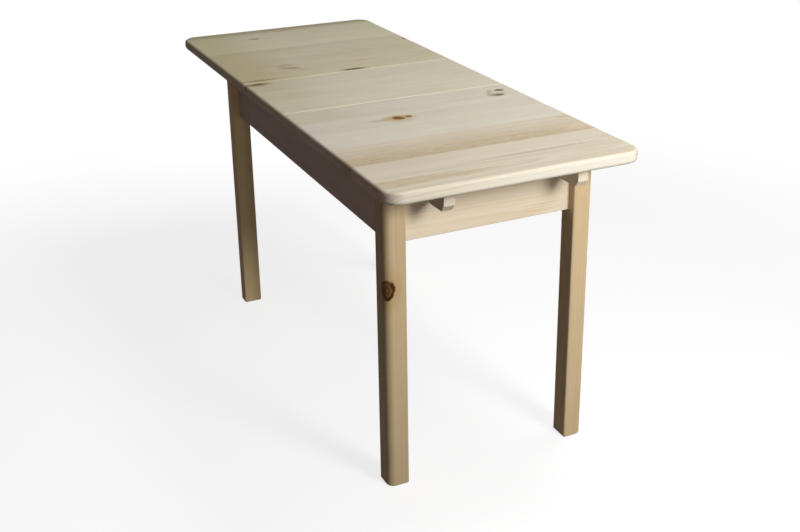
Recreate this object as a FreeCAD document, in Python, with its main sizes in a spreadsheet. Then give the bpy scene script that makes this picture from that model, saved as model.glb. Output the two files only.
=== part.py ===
"""Extending pine table, drawn pulled out with its leaf in, in millimetres.

X runs along the table with +X at the near end, Y across it with +Y on the right of someone
standing at that end, Z up. The origin is on the floor under the middle of the leaf.
Two half tops slide on grooved runners over a frame of four legs, and a loose leaf lies between.
"""
import FreeCAD
import Part
import Sketcher
import os

doc = FreeCAD.newDocument("extending_table")
sheet = doc.addObject("Spreadsheet::Sheet", "Sizes")

# Driving sizes, each written once
SIZES = {
    # The top: boards are counted outwards from the leaf
    "table_height": 750,
    "top_thickness": 28,
    "top_width": 600,
    "near_board_1": 100,
    "near_board_2": 95,
    "near_board_3": 103,
    "near_board_4": 125,
    "near_board_5": 72,
    "near_board_6": 105,
    "far_board_1": 112,
    "far_board_2": 114,
    "far_board_3": 114,
    "far_board_4": 125,
    "far_board_5": 135,
    "leaf_board_1": 105,
    "leaf_board_2": 95,
    "leaf_board_3": 100,
    "corner_round": 40,
    "edge_round": 8,
    "lower_edge_round": 9,
    "seam_arris": 2,
    "seam_clearance": 0.4,
    "leaf_seat_clearance": 0.3,
    "slide_clearance": 0.5,
    # The frame
    "base_shift": 82.5,
    "frame_length": 1100,
    "frame_width": 510,
    "leg_size": 50,
    "leg_round": 18,
    "leg_edge_round": 4,
    "foot_chamfer": 2.5,
    "apron_thickness": 20,
    "apron_setback": 20,
    "apron_height": 138,
    "apron_round": 2,
    # Dowels between aprons and legs, heights above the aprons' lower edge
    "dowel_radius": 5,
    "dowel_depth": 20,
    "dowel_end_room": 0.5,
    "side_dowel_low": 14,
    "side_dowel_high": 60,
    "end_dowel_low": 28,
    "end_dowel_high": 78,
    "fit_clearance": 0.1,
    # Corner blocks with a hanger bolt into each leg
    "block_gap": 14,
    "block_thickness": 28,
    "block_height": 60,
    "bolt_height": 43,
    "bolt_radius": 4,
    "bolt_grip": 40,
    "bolt_tail": 3,
    "bolt_hole_clearance": 0.5,
    "washer_radius": 10,
    "washer_thickness": 2,
    "nut_corner_radius": 7.5,
    "nut_height": 6.5,
    "block_screw_spacing": 36,
    "block_screw_seat": 10,
    # Cross rails between the long aprons
    "rail_offset": 200,
    "rail_thickness": 22,
    "rail_height": 60,
    "rail_dowel_radius": 4,
    "rail_dowel_in_apron": 12,
    "rail_dowel_in_rail": 20,
    "rail_dowel_spacing": 28,
    # Runners under the half tops and the guides that hold them
    "runner_width": 26,
    "runner_height": 50,
    "runner_setback": 43,
    "runner_gap": 6,
    "runner_nose_run": 12,
    "runner_nose_rise": 14,
    "runner_tail_room": 18,
    "runner_taper": 1,
    "runner_round": 1.5,
    "notch_play": 1,
    "guide_width": 26,
    "guide_drop": 5,
    "guide_end_room": 1,
    "side_play": 0.5,
    "tongue_height": 9,
    "tongue_projection": 6,
    "tongue_let_in": 8,
    "tongue_length": 420,
    "tongue_end_room": 5,
    "groove_play": 0.4,
    "groove_depth": 7,
    "groove_front_room": 2,
    "pull_limit": 312,
    # Cleats under the leaf
    "cleat_width": 22,
    "cleat_height": 22,
    "cleat_end_room": 20,
    "cleat_play": 1,
    # Wood screws
    "screw_radius": 2.25,
    "screw_head_radius": 4.25,
    "screw_head_height": 3,
    "counterbore_radius": 5,
    "screw_in_frame": 14,
    "screw_in_top": 16,
    "screw_in_rail": 25,
    "screw_end_room": 0.5,
    "runner_screw_seat": 30,
    "runner_screw_inset": 32,
    "guide_screw_seat": 8,
    "guide_screw_rise": 11,
    "guide_screw_pitch": 250,
    "rail_screw_seat": 10,
    "cleat_screw_seat": 6,
}
for row, (alias, value) in enumerate(SIZES.items(), start=1):
    sheet.set(f"A{row}", alias)
    sheet.set(f"B{row}", str(value))
    sheet.setAlias(f"B{row}", alias)
doc.recompute()


def total(*names):
    """Sum of sizes as an expression."""
    return "(" + " + ".join("Sizes." + name for name in names) + ")"


# Heights and places worked out from the driving sizes, as expressions
NEAR_BOARDS = [f"near_board_{i}" for i in range(1, 7)]
FAR_BOARDS = [f"far_board_{i}" for i in range(1, 6)]
LEAF_BOARDS = [f"leaf_board_{i}" for i in range(1, 4)]
UNDERSIDE = "(Sizes.table_height - Sizes.top_thickness)"
FRAME_TOP = f"({UNDERSIDE} - Sizes.slide_clearance)"
APRON_BOTTOM = f"({FRAME_TOP} - Sizes.apron_height)"
RUNNER_BOTTOM = f"({UNDERSIDE} - Sizes.runner_height)"
RUNNER_MIDDLE = f"({UNDERSIDE} - Sizes.runner_height / 2)"
RAIL_TOP = f"({RUNNER_BOTTOM} - Sizes.slide_clearance)"
LEAF_BOTTOM = f"({UNDERSIDE} + Sizes.leaf_seat_clearance)"
LEAF_HALF = f"({total(*LEAF_BOARDS)} / 2)"
SEAM = f"({LEAF_HALF} + Sizes.seam_clearance)"
APRON_INSET = "(Sizes.apron_setback + Sizes.apron_thickness)"
APRON_MIDDLE = "(Sizes.apron_setback + Sizes.apron_thickness / 2)"
APRON_IN_X = f"(Sizes.frame_length / 2 - {APRON_INSET})"
APRON_IN_Y = f"(Sizes.frame_width / 2 - {APRON_INSET})"
LEG_IN_X = "(Sizes.frame_length / 2 - Sizes.leg_size)"
LEG_IN_Y = "(Sizes.frame_width / 2 - Sizes.leg_size)"
OUTER_GUIDE_FACE = f"({APRON_IN_Y} - Sizes.guide_width)"
OUTER_RUNNER = f"({OUTER_GUIDE_FACE} - Sizes.side_play - Sizes.runner_width / 2)"
INNER_RUNNER = f"({OUTER_RUNNER} - Sizes.runner_width - Sizes.runner_gap)"
INNER_GUIDE_FACE = f"({INNER_RUNNER} - Sizes.runner_width / 2 - Sizes.side_play)"
INNER_GUIDE_BACK = f"({INNER_GUIDE_FACE} - Sizes.guide_width)"
GUIDE_TOP = f"({UNDERSIDE} - Sizes.guide_drop)"
TONGUE_END = f"({LEG_IN_X} - Sizes.tongue_end_room)"
TONGUE_START = f"({TONGUE_END} - Sizes.tongue_length)"
RUNNER_TAIL = f"({SEAM} - {APRON_IN_X} + Sizes.runner_tail_room)"
LEG_CORNER_DIAGONAL = f"(sqrt(2) * (Sizes.leg_size - {APRON_INSET}))"
BLOCK_FRONT_DIAGONAL = f"({LEG_CORNER_DIAGONAL} + Sizes.block_gap)"
BLOCK_BACK_DIAGONAL = f"({BLOCK_FRONT_DIAGONAL} + Sizes.block_thickness)"
BLOCK_FRONT = f"({BLOCK_FRONT_DIAGONAL} * sqrt(2))"
BLOCK_BACK = f"({BLOCK_BACK_DIAGONAL} * sqrt(2))"
BOLT_LEVEL = f"({APRON_BOTTOM} + Sizes.bolt_height)"

NEAR, FAR = 1, -1
RIGHT, LEFT = 1, -1
END_NAMES = {NEAR: "near", FAR: "far"}
SIDE_NAMES = {RIGHT: "right", LEFT: "left"}
CORNER_TURNS = {(NEAR, RIGHT): 0, (FAR, RIGHT): 90, (FAR, LEFT): 180, (NEAR, LEFT): 270}
UP = FreeCAD.Vector(0, 0, 1)
TOUCH = 0.01

parts = []


def value(expression):
    """The number that an expression gives with the sheet as it stands."""
    return float(sheet.evalExpression(expression.replace("Sizes.", "")))


def place(item, x, y, z, rotation):
    """Turns an object and ties its base point to three expressions."""
    item.Placement = FreeCAD.Placement(FreeCAD.Vector(), rotation)
    item.setExpression("Placement.Base.x", x)
    item.setExpression("Placement.Base.y", y)
    item.setExpression("Placement.Base.z", z)


def turned(degrees):
    """A turn about the vertical."""
    return FreeCAD.Rotation(UP, degrees)


def half_turn(end):
    """The far half of the mechanism is the near half turned half round."""
    return turned(0 if end == NEAR else 180)


def block(name, length, width, height, x, y, z, rotation=turned(0)):
    """A plain block with its sizes and corner given as expressions."""
    item = doc.addObject("Part::Box", name)
    item.setExpression("Length", length)
    item.setExpression("Width", width)
    item.setExpression("Height", height)
    place(item, x, y, z, rotation)
    return item


def rod(name, radius, length, x, y, z, direction):
    """A round rod that starts at a point and runs along a direction."""
    item = doc.addObject("Part::Cylinder", name)
    item.setExpression("Radius", radius)
    item.setExpression("Height", length)
    place(item, x, y, z, FreeCAD.Rotation(UP, FreeCAD.Vector(*direction)))
    return item


def step_along(point, direction, distance):
    """Expressions of the point that lies a distance along a direction."""
    return [f"{p} + {d} * ({distance})" if d else p for p, d in zip(point, direction)]


def group(name, items):
    """Several separate solids under one name."""
    item = doc.addObject("Part::Compound", name)
    item.Links = items
    return item


def less(name, base, tools):
    """The base with the tools taken out of it."""
    item = doc.addObject("Part::Cut", name)
    item.Base = base
    item.Tool = group(name + "_tools", tools)
    return item


def finish(item, label):
    """Names a sub-part and lists it for writing."""
    item.Label = label
    parts.append(item)
    return item


def profile(body, role, corners):
    """A closed outline of straight lines on one of the body's own planes, each corner tied to the sheet."""
    sketch = body.newObject("Sketcher::SketchObject", body.Name + "_outline")
    plane = next(p for p in body.Origin.OriginFeatures if p.Role == role)
    sketch.AttachmentSupport = [(plane, "")]
    sketch.MapMode = "FlatFace"
    points = [FreeCAD.Vector(value(x), value(y), 0) for x, y in corners]
    count = len(points)
    for i in range(count):
        sketch.addGeometry(Part.LineSegment(points[i], points[(i + 1) % count]), False)
    for i in range(count):
        sketch.addConstraint(Sketcher.Constraint("Coincident", i, 2, (i + 1) % count, 1))
    for i, (x, y) in enumerate(corners):
        for kind, expression, axis, now in (("DistanceX", x, -2, points[i].x), ("DistanceY", y, -1, points[i].y)):
            if expression == "0":
                sketch.addConstraint(Sketcher.Constraint("PointOnObject", i, 1, axis))
            else:
                index = sketch.addConstraint(Sketcher.Constraint(kind, -1, 1, i, 1, now))
                sketch.setExpression(f"Constraints[{index}]", expression)
    return sketch


def padded(name, role, corners, length):
    """A body made by padding an outline."""
    body = doc.addObject("PartDesign::Body", name)
    pad = body.newObject("PartDesign::Pad", name + "_pad")
    pad.Profile = profile(body, role, corners)
    pad.setExpression("Length", length)
    doc.recompute()
    return body


def edges_where(feature, test):
    """Names of a feature's edges that pass a test on their box."""
    return [f"Edge{i}" for i, edge in enumerate(feature.Shape.Edges, start=1) if test(edge.BoundBox)]


def eased(body, kind, amount, test):
    """Rounds or bevels the edges of a body that pass a test."""
    base = body.Tip
    item = body.newObject("PartDesign::" + kind, f"{body.Name}_{kind.lower()}_{len(body.Group)}")
    item.Base = (base, edges_where(base, test))
    item.setExpression("Radius" if kind == "Fillet" else "Size", amount)
    body.Tip = item
    doc.recompute()
    return body


def rectangle(x_from, x_to, y_from, y_to):
    """Corners of an upright rectangle."""
    return [(x_from, y_from), (x_to, y_from), (x_to, y_to), (x_from, y_to)]


def at(number, target):
    """True where two lengths agree."""
    return abs(number - target) < TOUCH


def screw(name, seat, direction, length):
    """A wood screw whose head sits on the seat and whose shank runs along the direction."""
    back = tuple(-d for d in direction)
    shank = rod(name + "_shank", "Sizes.screw_radius", length, *seat, direction)
    head = rod(name + "_head", "Sizes.screw_head_radius", "Sizes.screw_head_height", *seat, back)
    item = doc.addObject("Part::MultiFuse", name)
    item.Shapes = [shank, head]
    return item


def screw_room(name, seat, direction, length, bore):
    """The pilot hole ahead of a screw's seat and the counterbore behind it."""
    back = tuple(-d for d in direction)
    pilot = rod(name + "_pilot", "Sizes.screw_radius + Sizes.fit_clearance",
                f"{length} + Sizes.screw_end_room", *seat, direction)
    return [pilot, rod(name + "_bore", "Sizes.counterbore_radius", bore, *seat, back)]


# Dowels, and the holes they share between apron and leg
def apron_dowels():
    """Dowels and their holes for each corner, side aprons first and end aprons second."""
    dowels, holes = [], {}
    for end, side in CORNER_TURNS:
        corner = f"{END_NAMES[end]}_{SIDE_NAMES[side]}"
        side_start = [f"Sizes.base_shift + {end} * ({LEG_IN_X} + Sizes.dowel_depth)",
                      f"{side} * (Sizes.frame_width / 2 - {APRON_MIDDLE})"]
        end_start = [f"Sizes.base_shift + {end} * (Sizes.frame_length / 2 - {APRON_MIDDLE})",
                     f"{side} * ({LEG_IN_Y} + Sizes.dowel_depth)"]
        for joint, start, direction in (("side", side_start, (-end, 0, 0)), ("end", end_start, (0, -side, 0))):
            for level in ("low", "high"):
                name = f"{joint}_dowel_{corner}_{level}"
                point = start + [f"{APRON_BOTTOM} + Sizes.{joint}_dowel_{level}"]
                hole = rod(name + "_hole", "Sizes.dowel_radius + Sizes.fit_clearance",
                           "2 * Sizes.dowel_depth", *point, direction)
                inner = step_along(point, direction, "Sizes.dowel_end_room")
                dowels.append(rod(name, "Sizes.dowel_radius",
                                  "2 * (Sizes.dowel_depth - Sizes.dowel_end_room)", *inner, direction))
                holes.setdefault((end, side, joint), []).append(hole)
    finish(group("apron_dowels", dowels), "apron_dowels")
    return holes


def rail_dowels():
    """Dowels and their holes between the cross rails and the long aprons."""
    dowels, holes = [], {}
    for end, side in CORNER_TURNS:
        for level in (-1, 1):
            name = f"rail_dowel_{END_NAMES[end]}_{SIDE_NAMES[side]}_{'low' if level < 0 else 'high'}"
            direction = (0, -side, 0)
            point = [f"Sizes.base_shift + {end} * Sizes.rail_offset",
                     f"{side} * ({APRON_IN_Y} + Sizes.rail_dowel_in_apron)",
                     f"{RAIL_TOP} - Sizes.rail_height / 2 + {level} * Sizes.rail_dowel_spacing / 2"]
            length = "Sizes.rail_dowel_in_apron + Sizes.rail_dowel_in_rail"
            hole = rod(name + "_hole", "Sizes.rail_dowel_radius + Sizes.fit_clearance", length, *point, direction)
            inner = step_along(point, direction, "Sizes.dowel_end_room")
            dowels.append(rod(name, "Sizes.rail_dowel_radius",
                              f"{length} - 2 * Sizes.dowel_end_room", *inner, direction))
            holes.setdefault(end, []).append(hole)
            holes.setdefault(("apron", side), []).append(hole)
    finish(group("cross_rail_dowels", dowels), "cross_rail_dowels")
    return holes


# Hanger bolts run level at 45 degrees through each corner block into the leg
def on_diagonal(end, side, distance):
    """The point at a distance inwards from where the inner faces of two aprons would meet."""
    return [f"Sizes.base_shift + {end} * ({APRON_IN_X} - ({distance}) / sqrt(2))",
            f"{side} * ({APRON_IN_Y} - ({distance}) / sqrt(2))",
            BOLT_LEVEL]


def bolts():
    """Bolts, washers and nuts, with the holes for the bolts in the legs and blocks."""
    bolt_list, washer_list, nut_list, holes = [], [], [], {}
    washer_back = f"{BLOCK_BACK_DIAGONAL} + Sizes.washer_thickness"
    nut_back = f"{washer_back} + Sizes.nut_height"
    bolt_back = f"{nut_back} + Sizes.bolt_tail"
    for end, side in CORNER_TURNS:
        corner = f"{END_NAMES[end]}_{SIDE_NAMES[side]}"
        towards_leg = (end, side, 0)
        length = f"{bolt_back} - {LEG_CORNER_DIAGONAL} + Sizes.bolt_grip"
        start = on_diagonal(end, side, bolt_back)
        bolt_list.append(rod("bolt_" + corner, "Sizes.bolt_radius", length, *start, towards_leg))
        holes[end, side, "leg"] = [rod("bolt_pilot_" + corner, "Sizes.bolt_radius + Sizes.fit_clearance",
                                       f"{length} + Sizes.screw_end_room", *start, towards_leg)]
        bore = rod("bolt_bore_" + corner, "Sizes.bolt_radius + Sizes.bolt_hole_clearance",
                   length, *start, towards_leg)
        holes[end, side, "block"] = [bore]
        washer = rod("washer_disc_" + corner, "Sizes.washer_radius", "Sizes.washer_thickness",
                     *on_diagonal(end, side, washer_back), towards_leg)
        washer_list.append(less("washer_" + corner, washer, [bore]))
        nut = doc.addObject("Part::Prism", "nut_blank_" + corner)
        nut.Polygon = 6
        nut.setExpression("Circumradius", "Sizes.nut_corner_radius")
        nut.setExpression("Height", "Sizes.nut_height")
        place(nut, *on_diagonal(end, side, nut_back), FreeCAD.Rotation(UP, FreeCAD.Vector(*towards_leg)))
        nut_list.append(less("nut_" + corner, nut, holes[end, side, "leg"]))
    finish(group("hanger_bolts", bolt_list), "hanger_bolts")
    finish(group("bolt_washers", washer_list), "bolt_washers")
    finish(group("bolt_nuts", nut_list), "bolt_nuts")
    return holes


def block_screws():
    """Screws through the corner blocks into the aprons, and their rooms."""
    screws, rooms = [], {}
    middle = f"(({BLOCK_FRONT} + {BLOCK_BACK}) / 2)"
    length = "(Sizes.block_screw_seat + Sizes.screw_in_frame)"
    bore = f"{BLOCK_BACK} - {middle}"
    for end, side in CORNER_TURNS:
        corner = f"{END_NAMES[end]}_{SIDE_NAMES[side]}"
        side_seat = [f"Sizes.base_shift + {end} * ({APRON_IN_X} - {middle})",
                     f"{side} * ({APRON_IN_Y} - Sizes.block_screw_seat)"]
        end_seat = [f"Sizes.base_shift + {end} * ({APRON_IN_X} - Sizes.block_screw_seat)",
                    f"{side} * ({APRON_IN_Y} - {middle})"]
        for joint, seat, direction in (("side", side_seat, (0, side, 0)), ("end", end_seat, (end, 0, 0))):
            for level in (-1, 1):
                name = f"{joint}_block_screw_{corner}_{'low' if level < 0 else 'high'}"
                point = seat + [f"{BOLT_LEVEL} + {level} * Sizes.block_screw_spacing / 2"]
                screws.append(screw(name, point, direction, length))
                room = screw_room(name, point, direction, length, bore)
                rooms.setdefault((end, side), []).extend(room)
                rooms.setdefault((end, side, joint), []).append(room[0])
    finish(group("corner_block_screws", screws), "corner_block_screws")
    return rooms


def guide_screws():
    """Screws that hold the outer guides to the long aprons and the inner guides to the cross rails."""
    screws, rooms = [], {}
    for side in (RIGHT, LEFT):
        length = f"({APRON_IN_Y} + Sizes.screw_in_frame - {OUTER_GUIDE_FACE} - Sizes.guide_screw_seat)"
        for i in range(4):
            name = f"outer_guide_screw_{SIDE_NAMES[side]}_{i + 1}"
            seat = [f"Sizes.base_shift + {i - 1.5} * Sizes.guide_screw_pitch",
                    f"{side} * ({OUTER_GUIDE_FACE} + Sizes.guide_screw_seat)",
                    f"{RAIL_TOP} + Sizes.guide_screw_rise"]
            screws.append(screw(name, seat, (0, side, 0), length))
            room = screw_room(name, seat, (0, side, 0), length, "Sizes.guide_screw_seat + Sizes.side_play")
            rooms.setdefault(("outer", side), []).extend(room)
            rooms.setdefault(("apron", side), []).append(room[0])
        length = f"({GUIDE_TOP} - Sizes.rail_screw_seat - {RAIL_TOP} + Sizes.screw_in_rail)"
        for end in (NEAR, FAR):
            name = f"inner_guide_screw_{END_NAMES[end]}_{SIDE_NAMES[side]}"
            seat = [f"Sizes.base_shift + {end} * Sizes.rail_offset",
                    f"{side} * ({INNER_GUIDE_FACE} - Sizes.guide_width / 2)",
                    f"{GUIDE_TOP} - Sizes.rail_screw_seat"]
            screws.append(screw(name, seat, (0, 0, -1), length))
            room = screw_room(name, seat, (0, 0, -1), length, "Sizes.rail_screw_seat")
            rooms.setdefault(("inner", side), []).extend(room)
            rooms.setdefault(("rail", end), []).append(room[0])
    finish(group("guide_screws", screws), "guide_screws")
    return rooms


dowel_holes = apron_dowels()
rail_holes = rail_dowels()
bolt_holes = bolts()
block_rooms = block_screws()
guide_rooms = guide_screws()


def leg(end, side):
    """A square leg with its outer corner well rounded, its other corners eased and its foot bevelled."""
    name = f"leg_{END_NAMES[end]}_{SIDE_NAMES[side]}"
    half = "Sizes.leg_size / 2"
    body = padded(name + "_blank", "XY_Plane", rectangle(f"-{half}", half, f"-{half}", half), FRAME_TOP)
    reach = value(half)
    eased(body, "Fillet", "Sizes.leg_round",
          lambda b: at(b.XMin, reach) and at(b.YMin, reach) and b.ZLength > TOUCH)
    eased(body, "Fillet", "Sizes.leg_edge_round",
          lambda b: at(abs(b.XMin), reach) and at(abs(b.YMin), reach) and b.ZLength > TOUCH)
    eased(body, "Chamfer", "Sizes.foot_chamfer", lambda b: at(b.ZMax, 0))
    place(body, f"Sizes.base_shift + {end} * (Sizes.frame_length / 2 - {half})",
          f"{side} * (Sizes.frame_width / 2 - {half})", "0", turned(CORNER_TURNS[end, side]))
    holes = dowel_holes[end, side, "side"] + dowel_holes[end, side, "end"] + bolt_holes[end, side, "leg"]
    finish(less(name + "_drilled", body, holes), name)


def long_apron(side):
    """The board along one side of the frame, between the legs."""
    name = f"long_apron_{SIDE_NAMES[side]}"
    body = padded(name + "_blank", "XY_Plane",
                  rectangle(f"-{LEG_IN_X}", LEG_IN_X, "0", "Sizes.apron_thickness"), "Sizes.apron_height")
    eased(body, "Fillet", "Sizes.apron_round", lambda b: at(b.ZMax, 0) and b.XLength > TOUCH and at(b.YLength, 0))
    place(body, "Sizes.base_shift", f"{side} * {APRON_IN_Y}", APRON_BOTTOM, half_turn(side))
    holes = rail_holes["apron", side] + guide_rooms["apron", side]
    for end in (NEAR, FAR):
        holes = holes + dowel_holes[end, side, "side"] + block_rooms[end, side, "side"]
    finish(less(name + "_drilled", body, holes), name)


def end_apron(end):
    """The board across one end of the frame, notched from the top for that end's two runners."""
    name = f"end_apron_{END_NAMES[end]}"
    floor = "(Sizes.apron_height - Sizes.runner_height)"
    top = "Sizes.apron_height"
    half_notch = "(Sizes.runner_width / 2 + Sizes.notch_play)"
    outline = [(f"-{LEG_IN_Y}", "0"), (LEG_IN_Y, "0"), (LEG_IN_Y, top)]
    for middle in (OUTER_RUNNER, f"-{INNER_RUNNER}"):
        outline += [(f"{middle} + {half_notch}", top), (f"{middle} + {half_notch}", floor),
                    (f"{middle} - {half_notch}", floor), (f"{middle} - {half_notch}", top)]
    outline.append((f"-{LEG_IN_Y}", top))
    body = padded(name + "_blank", "YZ_Plane", outline, "Sizes.apron_thickness")
    eased(body, "Fillet", "Sizes.apron_round", lambda b: at(b.ZMax, 0) and b.YLength > TOUCH and at(b.XLength, 0))
    place(body, f"Sizes.base_shift + {end} * {APRON_IN_X}", "0", APRON_BOTTOM, half_turn(end))
    holes = []
    for side in (RIGHT, LEFT):
        holes = holes + dowel_holes[end, side, "end"] + block_rooms[end, side, "end"]
    finish(less(name + "_drilled", body, holes), name)


def corner_block(end, side):
    """A mitred block across the corner, seated on the inner faces of two aprons."""
    name = f"corner_block_{END_NAMES[end]}_{SIDE_NAMES[side]}"
    outline = [(f"-{BLOCK_FRONT}", "0"), ("0", f"-{BLOCK_FRONT}"), ("0", f"-{BLOCK_BACK}"), (f"-{BLOCK_BACK}", "0")]
    body = padded(name + "_blank", "XY_Plane", outline, "Sizes.block_height")
    place(body, f"Sizes.base_shift + {end} * {APRON_IN_X}", f"{side} * {APRON_IN_Y}",
          f"{BOLT_LEVEL} - Sizes.block_height / 2", turned(CORNER_TURNS[end, side]))
    finish(less(name + "_drilled", body, bolt_holes[end, side, "block"] + block_rooms[end, side]), name)


def cross_rail(end):
    """A rail between the long aprons that carries the runners and the guides."""
    name = f"cross_rail_{END_NAMES[end]}"
    blank = block(name + "_blank", "Sizes.rail_thickness", f"2 * {APRON_IN_Y}", "Sizes.rail_height",
                  f"Sizes.base_shift + {end} * Sizes.rail_offset - Sizes.rail_thickness / 2",
                  f"-{APRON_IN_Y}", f"{RAIL_TOP} - Sizes.rail_height")
    finish(less(name + "_drilled", blank, rail_holes[end] + guide_rooms["rail", end]), name)


def guide(end, run):
    """A batten beside one runner, grooved for the tongue that carries the runner."""
    side = end if run == "outer" else -end
    name = f"{run}_guide_{SIDE_NAMES[side]}"
    face = OUTER_GUIDE_FACE if run == "outer" else f"(-{INNER_GUIDE_FACE})"
    reach = f"({LEG_IN_X} - Sizes.guide_end_room)" if run == "outer" else APRON_IN_X
    height = f"({GUIDE_TOP} - {RAIL_TOP})"
    turn = half_turn(end)
    blank = block(name + "_blank", f"2 * {reach}", "Sizes.guide_width", height,
                  f"Sizes.base_shift - {end} * {reach}", f"{end} * {face}", RAIL_TOP, turn)
    level = f"{RUNNER_MIDDLE} - Sizes.tongue_height / 2"
    start = f"Sizes.base_shift + {end} * {TONGUE_START}"
    room = block(name + "_tongue_room", "Sizes.tongue_length", "Sizes.tongue_let_in", "Sizes.tongue_height",
                 start, f"{end} * {face}", level, turn)
    finish(less(name + "_cut", blank, [room] + guide_rooms[run, side]), name)
    tongue = block(name + "_tongue_strip", "Sizes.tongue_length", "Sizes.tongue_let_in + Sizes.tongue_projection",
                   "Sizes.tongue_height", start, f"{end} * ({face} - Sizes.tongue_projection)", level, turn)
    finish(tongue, f"{run}_tongue_{SIDE_NAMES[side]}")


for end, side in CORNER_TURNS:
    leg(end, side)
    corner_block(end, side)
for side in (RIGHT, LEFT):
    long_apron(side)
for end in (NEAR, FAR):
    end_apron(end)
    cross_rail(end)
    for run in ("outer", "inner"):
        guide(end, run)


# Half tops: boards edge to edge across the table, each screwed to two runners
def board_middles(boards, reach):
    """Places of the runner screws: the middle of each board, and a set distance from the runner's nose."""
    middles = []
    for i, name in enumerate(boards[:-1]):
        before = total(*boards[:i]) if i else "0"
        middles.append(f"({SEAM} + {before} + Sizes.{name} / 2)")
    middles.append(f"({reach} - Sizes.runner_screw_inset)")
    return middles


def half_top(end, boards):
    """The boards, runners and screws of one half of the top."""
    half = END_NAMES[end]
    turn = half_turn(end)
    nose = f"({SEAM} + {total(*boards)} - Sizes.runner_setback)"
    length = "(Sizes.runner_height - Sizes.runner_screw_seat + Sizes.screw_in_top)"
    screws, rooms = [], {}
    for run, line in (("outer", OUTER_RUNNER), ("inner", f"(-{INNER_RUNNER})")):
        for i, middle in enumerate(board_middles(boards, nose)):
            name = f"{half}_{run}_runner_screw_{i + 1}"
            seat = [f"{end} * {middle}", f"{end} * {line}", f"{RUNNER_BOTTOM} + Sizes.runner_screw_seat"]
            screws.append(screw(name, seat, (0, 0, 1), length))
            room = screw_room(name, seat, (0, 0, 1), length, "Sizes.runner_screw_seat")
            rooms.setdefault(run, []).extend(room)
            rooms.setdefault(i, []).append(room[0])
        runner(end, run, line, nose, rooms[run], turn)
    finish(group(f"{half}_runner_screws", screws), f"{half}_runner_screws")
    for i, name in enumerate(boards):
        before = total(*boards[:i]) if i else "0"
        body = board(f"{half}_top_board_{i + 1}", name, "Sizes.top_thickness",
                     outer=i == len(boards) - 1, seams=("inner",) if i == 0 else ())
        place(body, f"{end} * ({SEAM} + {before})", "0", UNDERSIDE, turn)
        finish(less(body.Name + "_drilled", body, rooms[i]), body.Name.replace("_blank", ""))


def runner(end, run, line, nose, rooms, turn):
    """A long rail under a half top, with a bevelled nose and a stopped groove for its tongue.

    Its free length tapers away from the other half's boards, which pass over it.
    """
    side = end if run == "outer" else -end
    name = f"{END_NAMES[end]}_runner_{SIDE_NAMES[side]}"
    reach = f"({nose} - {RUNNER_TAIL})"
    height = "Sizes.runner_height"
    tail_height = f"({height} - Sizes.runner_taper)"
    outline = [("0", "0"), (f"{reach} - Sizes.runner_nose_run", "0"), (reach, "Sizes.runner_nose_rise"),
               (reach, height), (f"{SEAM} - {RUNNER_TAIL}", height), ("0", tail_height)]
    body = padded(name + "_blank", "XZ_Plane", outline, "Sizes.runner_width")
    top = value(tail_height)
    eased(body, "Fillet", "Sizes.runner_round",
          lambda b: at(b.YLength, 0) and b.ZMin < top - TOUCH and b.XMax > TOUCH)
    place(body, f"{end} * {RUNNER_TAIL}", f"{end} * ({line} + Sizes.runner_width / 2)", RUNNER_BOTTOM, turn)
    tail = f"({SEAM} + {TONGUE_START} - Sizes.pull_limit)"
    front = f"({SEAM} + {TONGUE_END} + Sizes.groove_front_room)"
    groove = block(name + "_groove", f"{front} - {tail}", "Sizes.groove_depth",
                   "Sizes.tongue_height + 2 * Sizes.groove_play", f"{end} * {tail}",
                   f"{end} * ({line} + Sizes.runner_width / 2 - Sizes.groove_depth)",
                   f"{RUNNER_MIDDLE} - Sizes.tongue_height / 2 - Sizes.groove_play", turn)
    finish(less(name + "_cut", body, [groove] + rooms), name)


def board(name, width, thickness, outer=False, seams=()):
    """A board across the top with rounded ends, a rounded outer edge or broken seam edges."""
    half = "Sizes.top_width / 2"
    body = padded(name + "_blank", "XY_Plane", rectangle("0", f"Sizes.{width}", f"-{half}", half), thickness)
    across = value(f"Sizes.{width}")
    if outer:
        eased(body, "Fillet", "Sizes.corner_round", lambda b: at(b.XMin, across) and b.ZLength > TOUCH)

    def on_rim(b):
        return at(b.ZLength, 0) and b.XMax > TOUCH and (outer or at(b.YLength, 0))

    eased(body, "Fillet", "Sizes.edge_round", lambda b: on_rim(b) and b.ZMin > TOUCH)
    eased(body, "Fillet", "Sizes.lower_edge_round", lambda b: on_rim(b) and at(b.ZMax, 0))
    if "inner" in seams:
        eased(body, "Chamfer", "Sizes.seam_arris", lambda b: at(b.XMax, 0))
    if "outer" in seams:
        eased(body, "Chamfer", "Sizes.seam_arris", lambda b: at(b.XMin, across))
    return body


half_top(NEAR, NEAR_BOARDS)
half_top(FAR, FAR_BOARDS)


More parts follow.
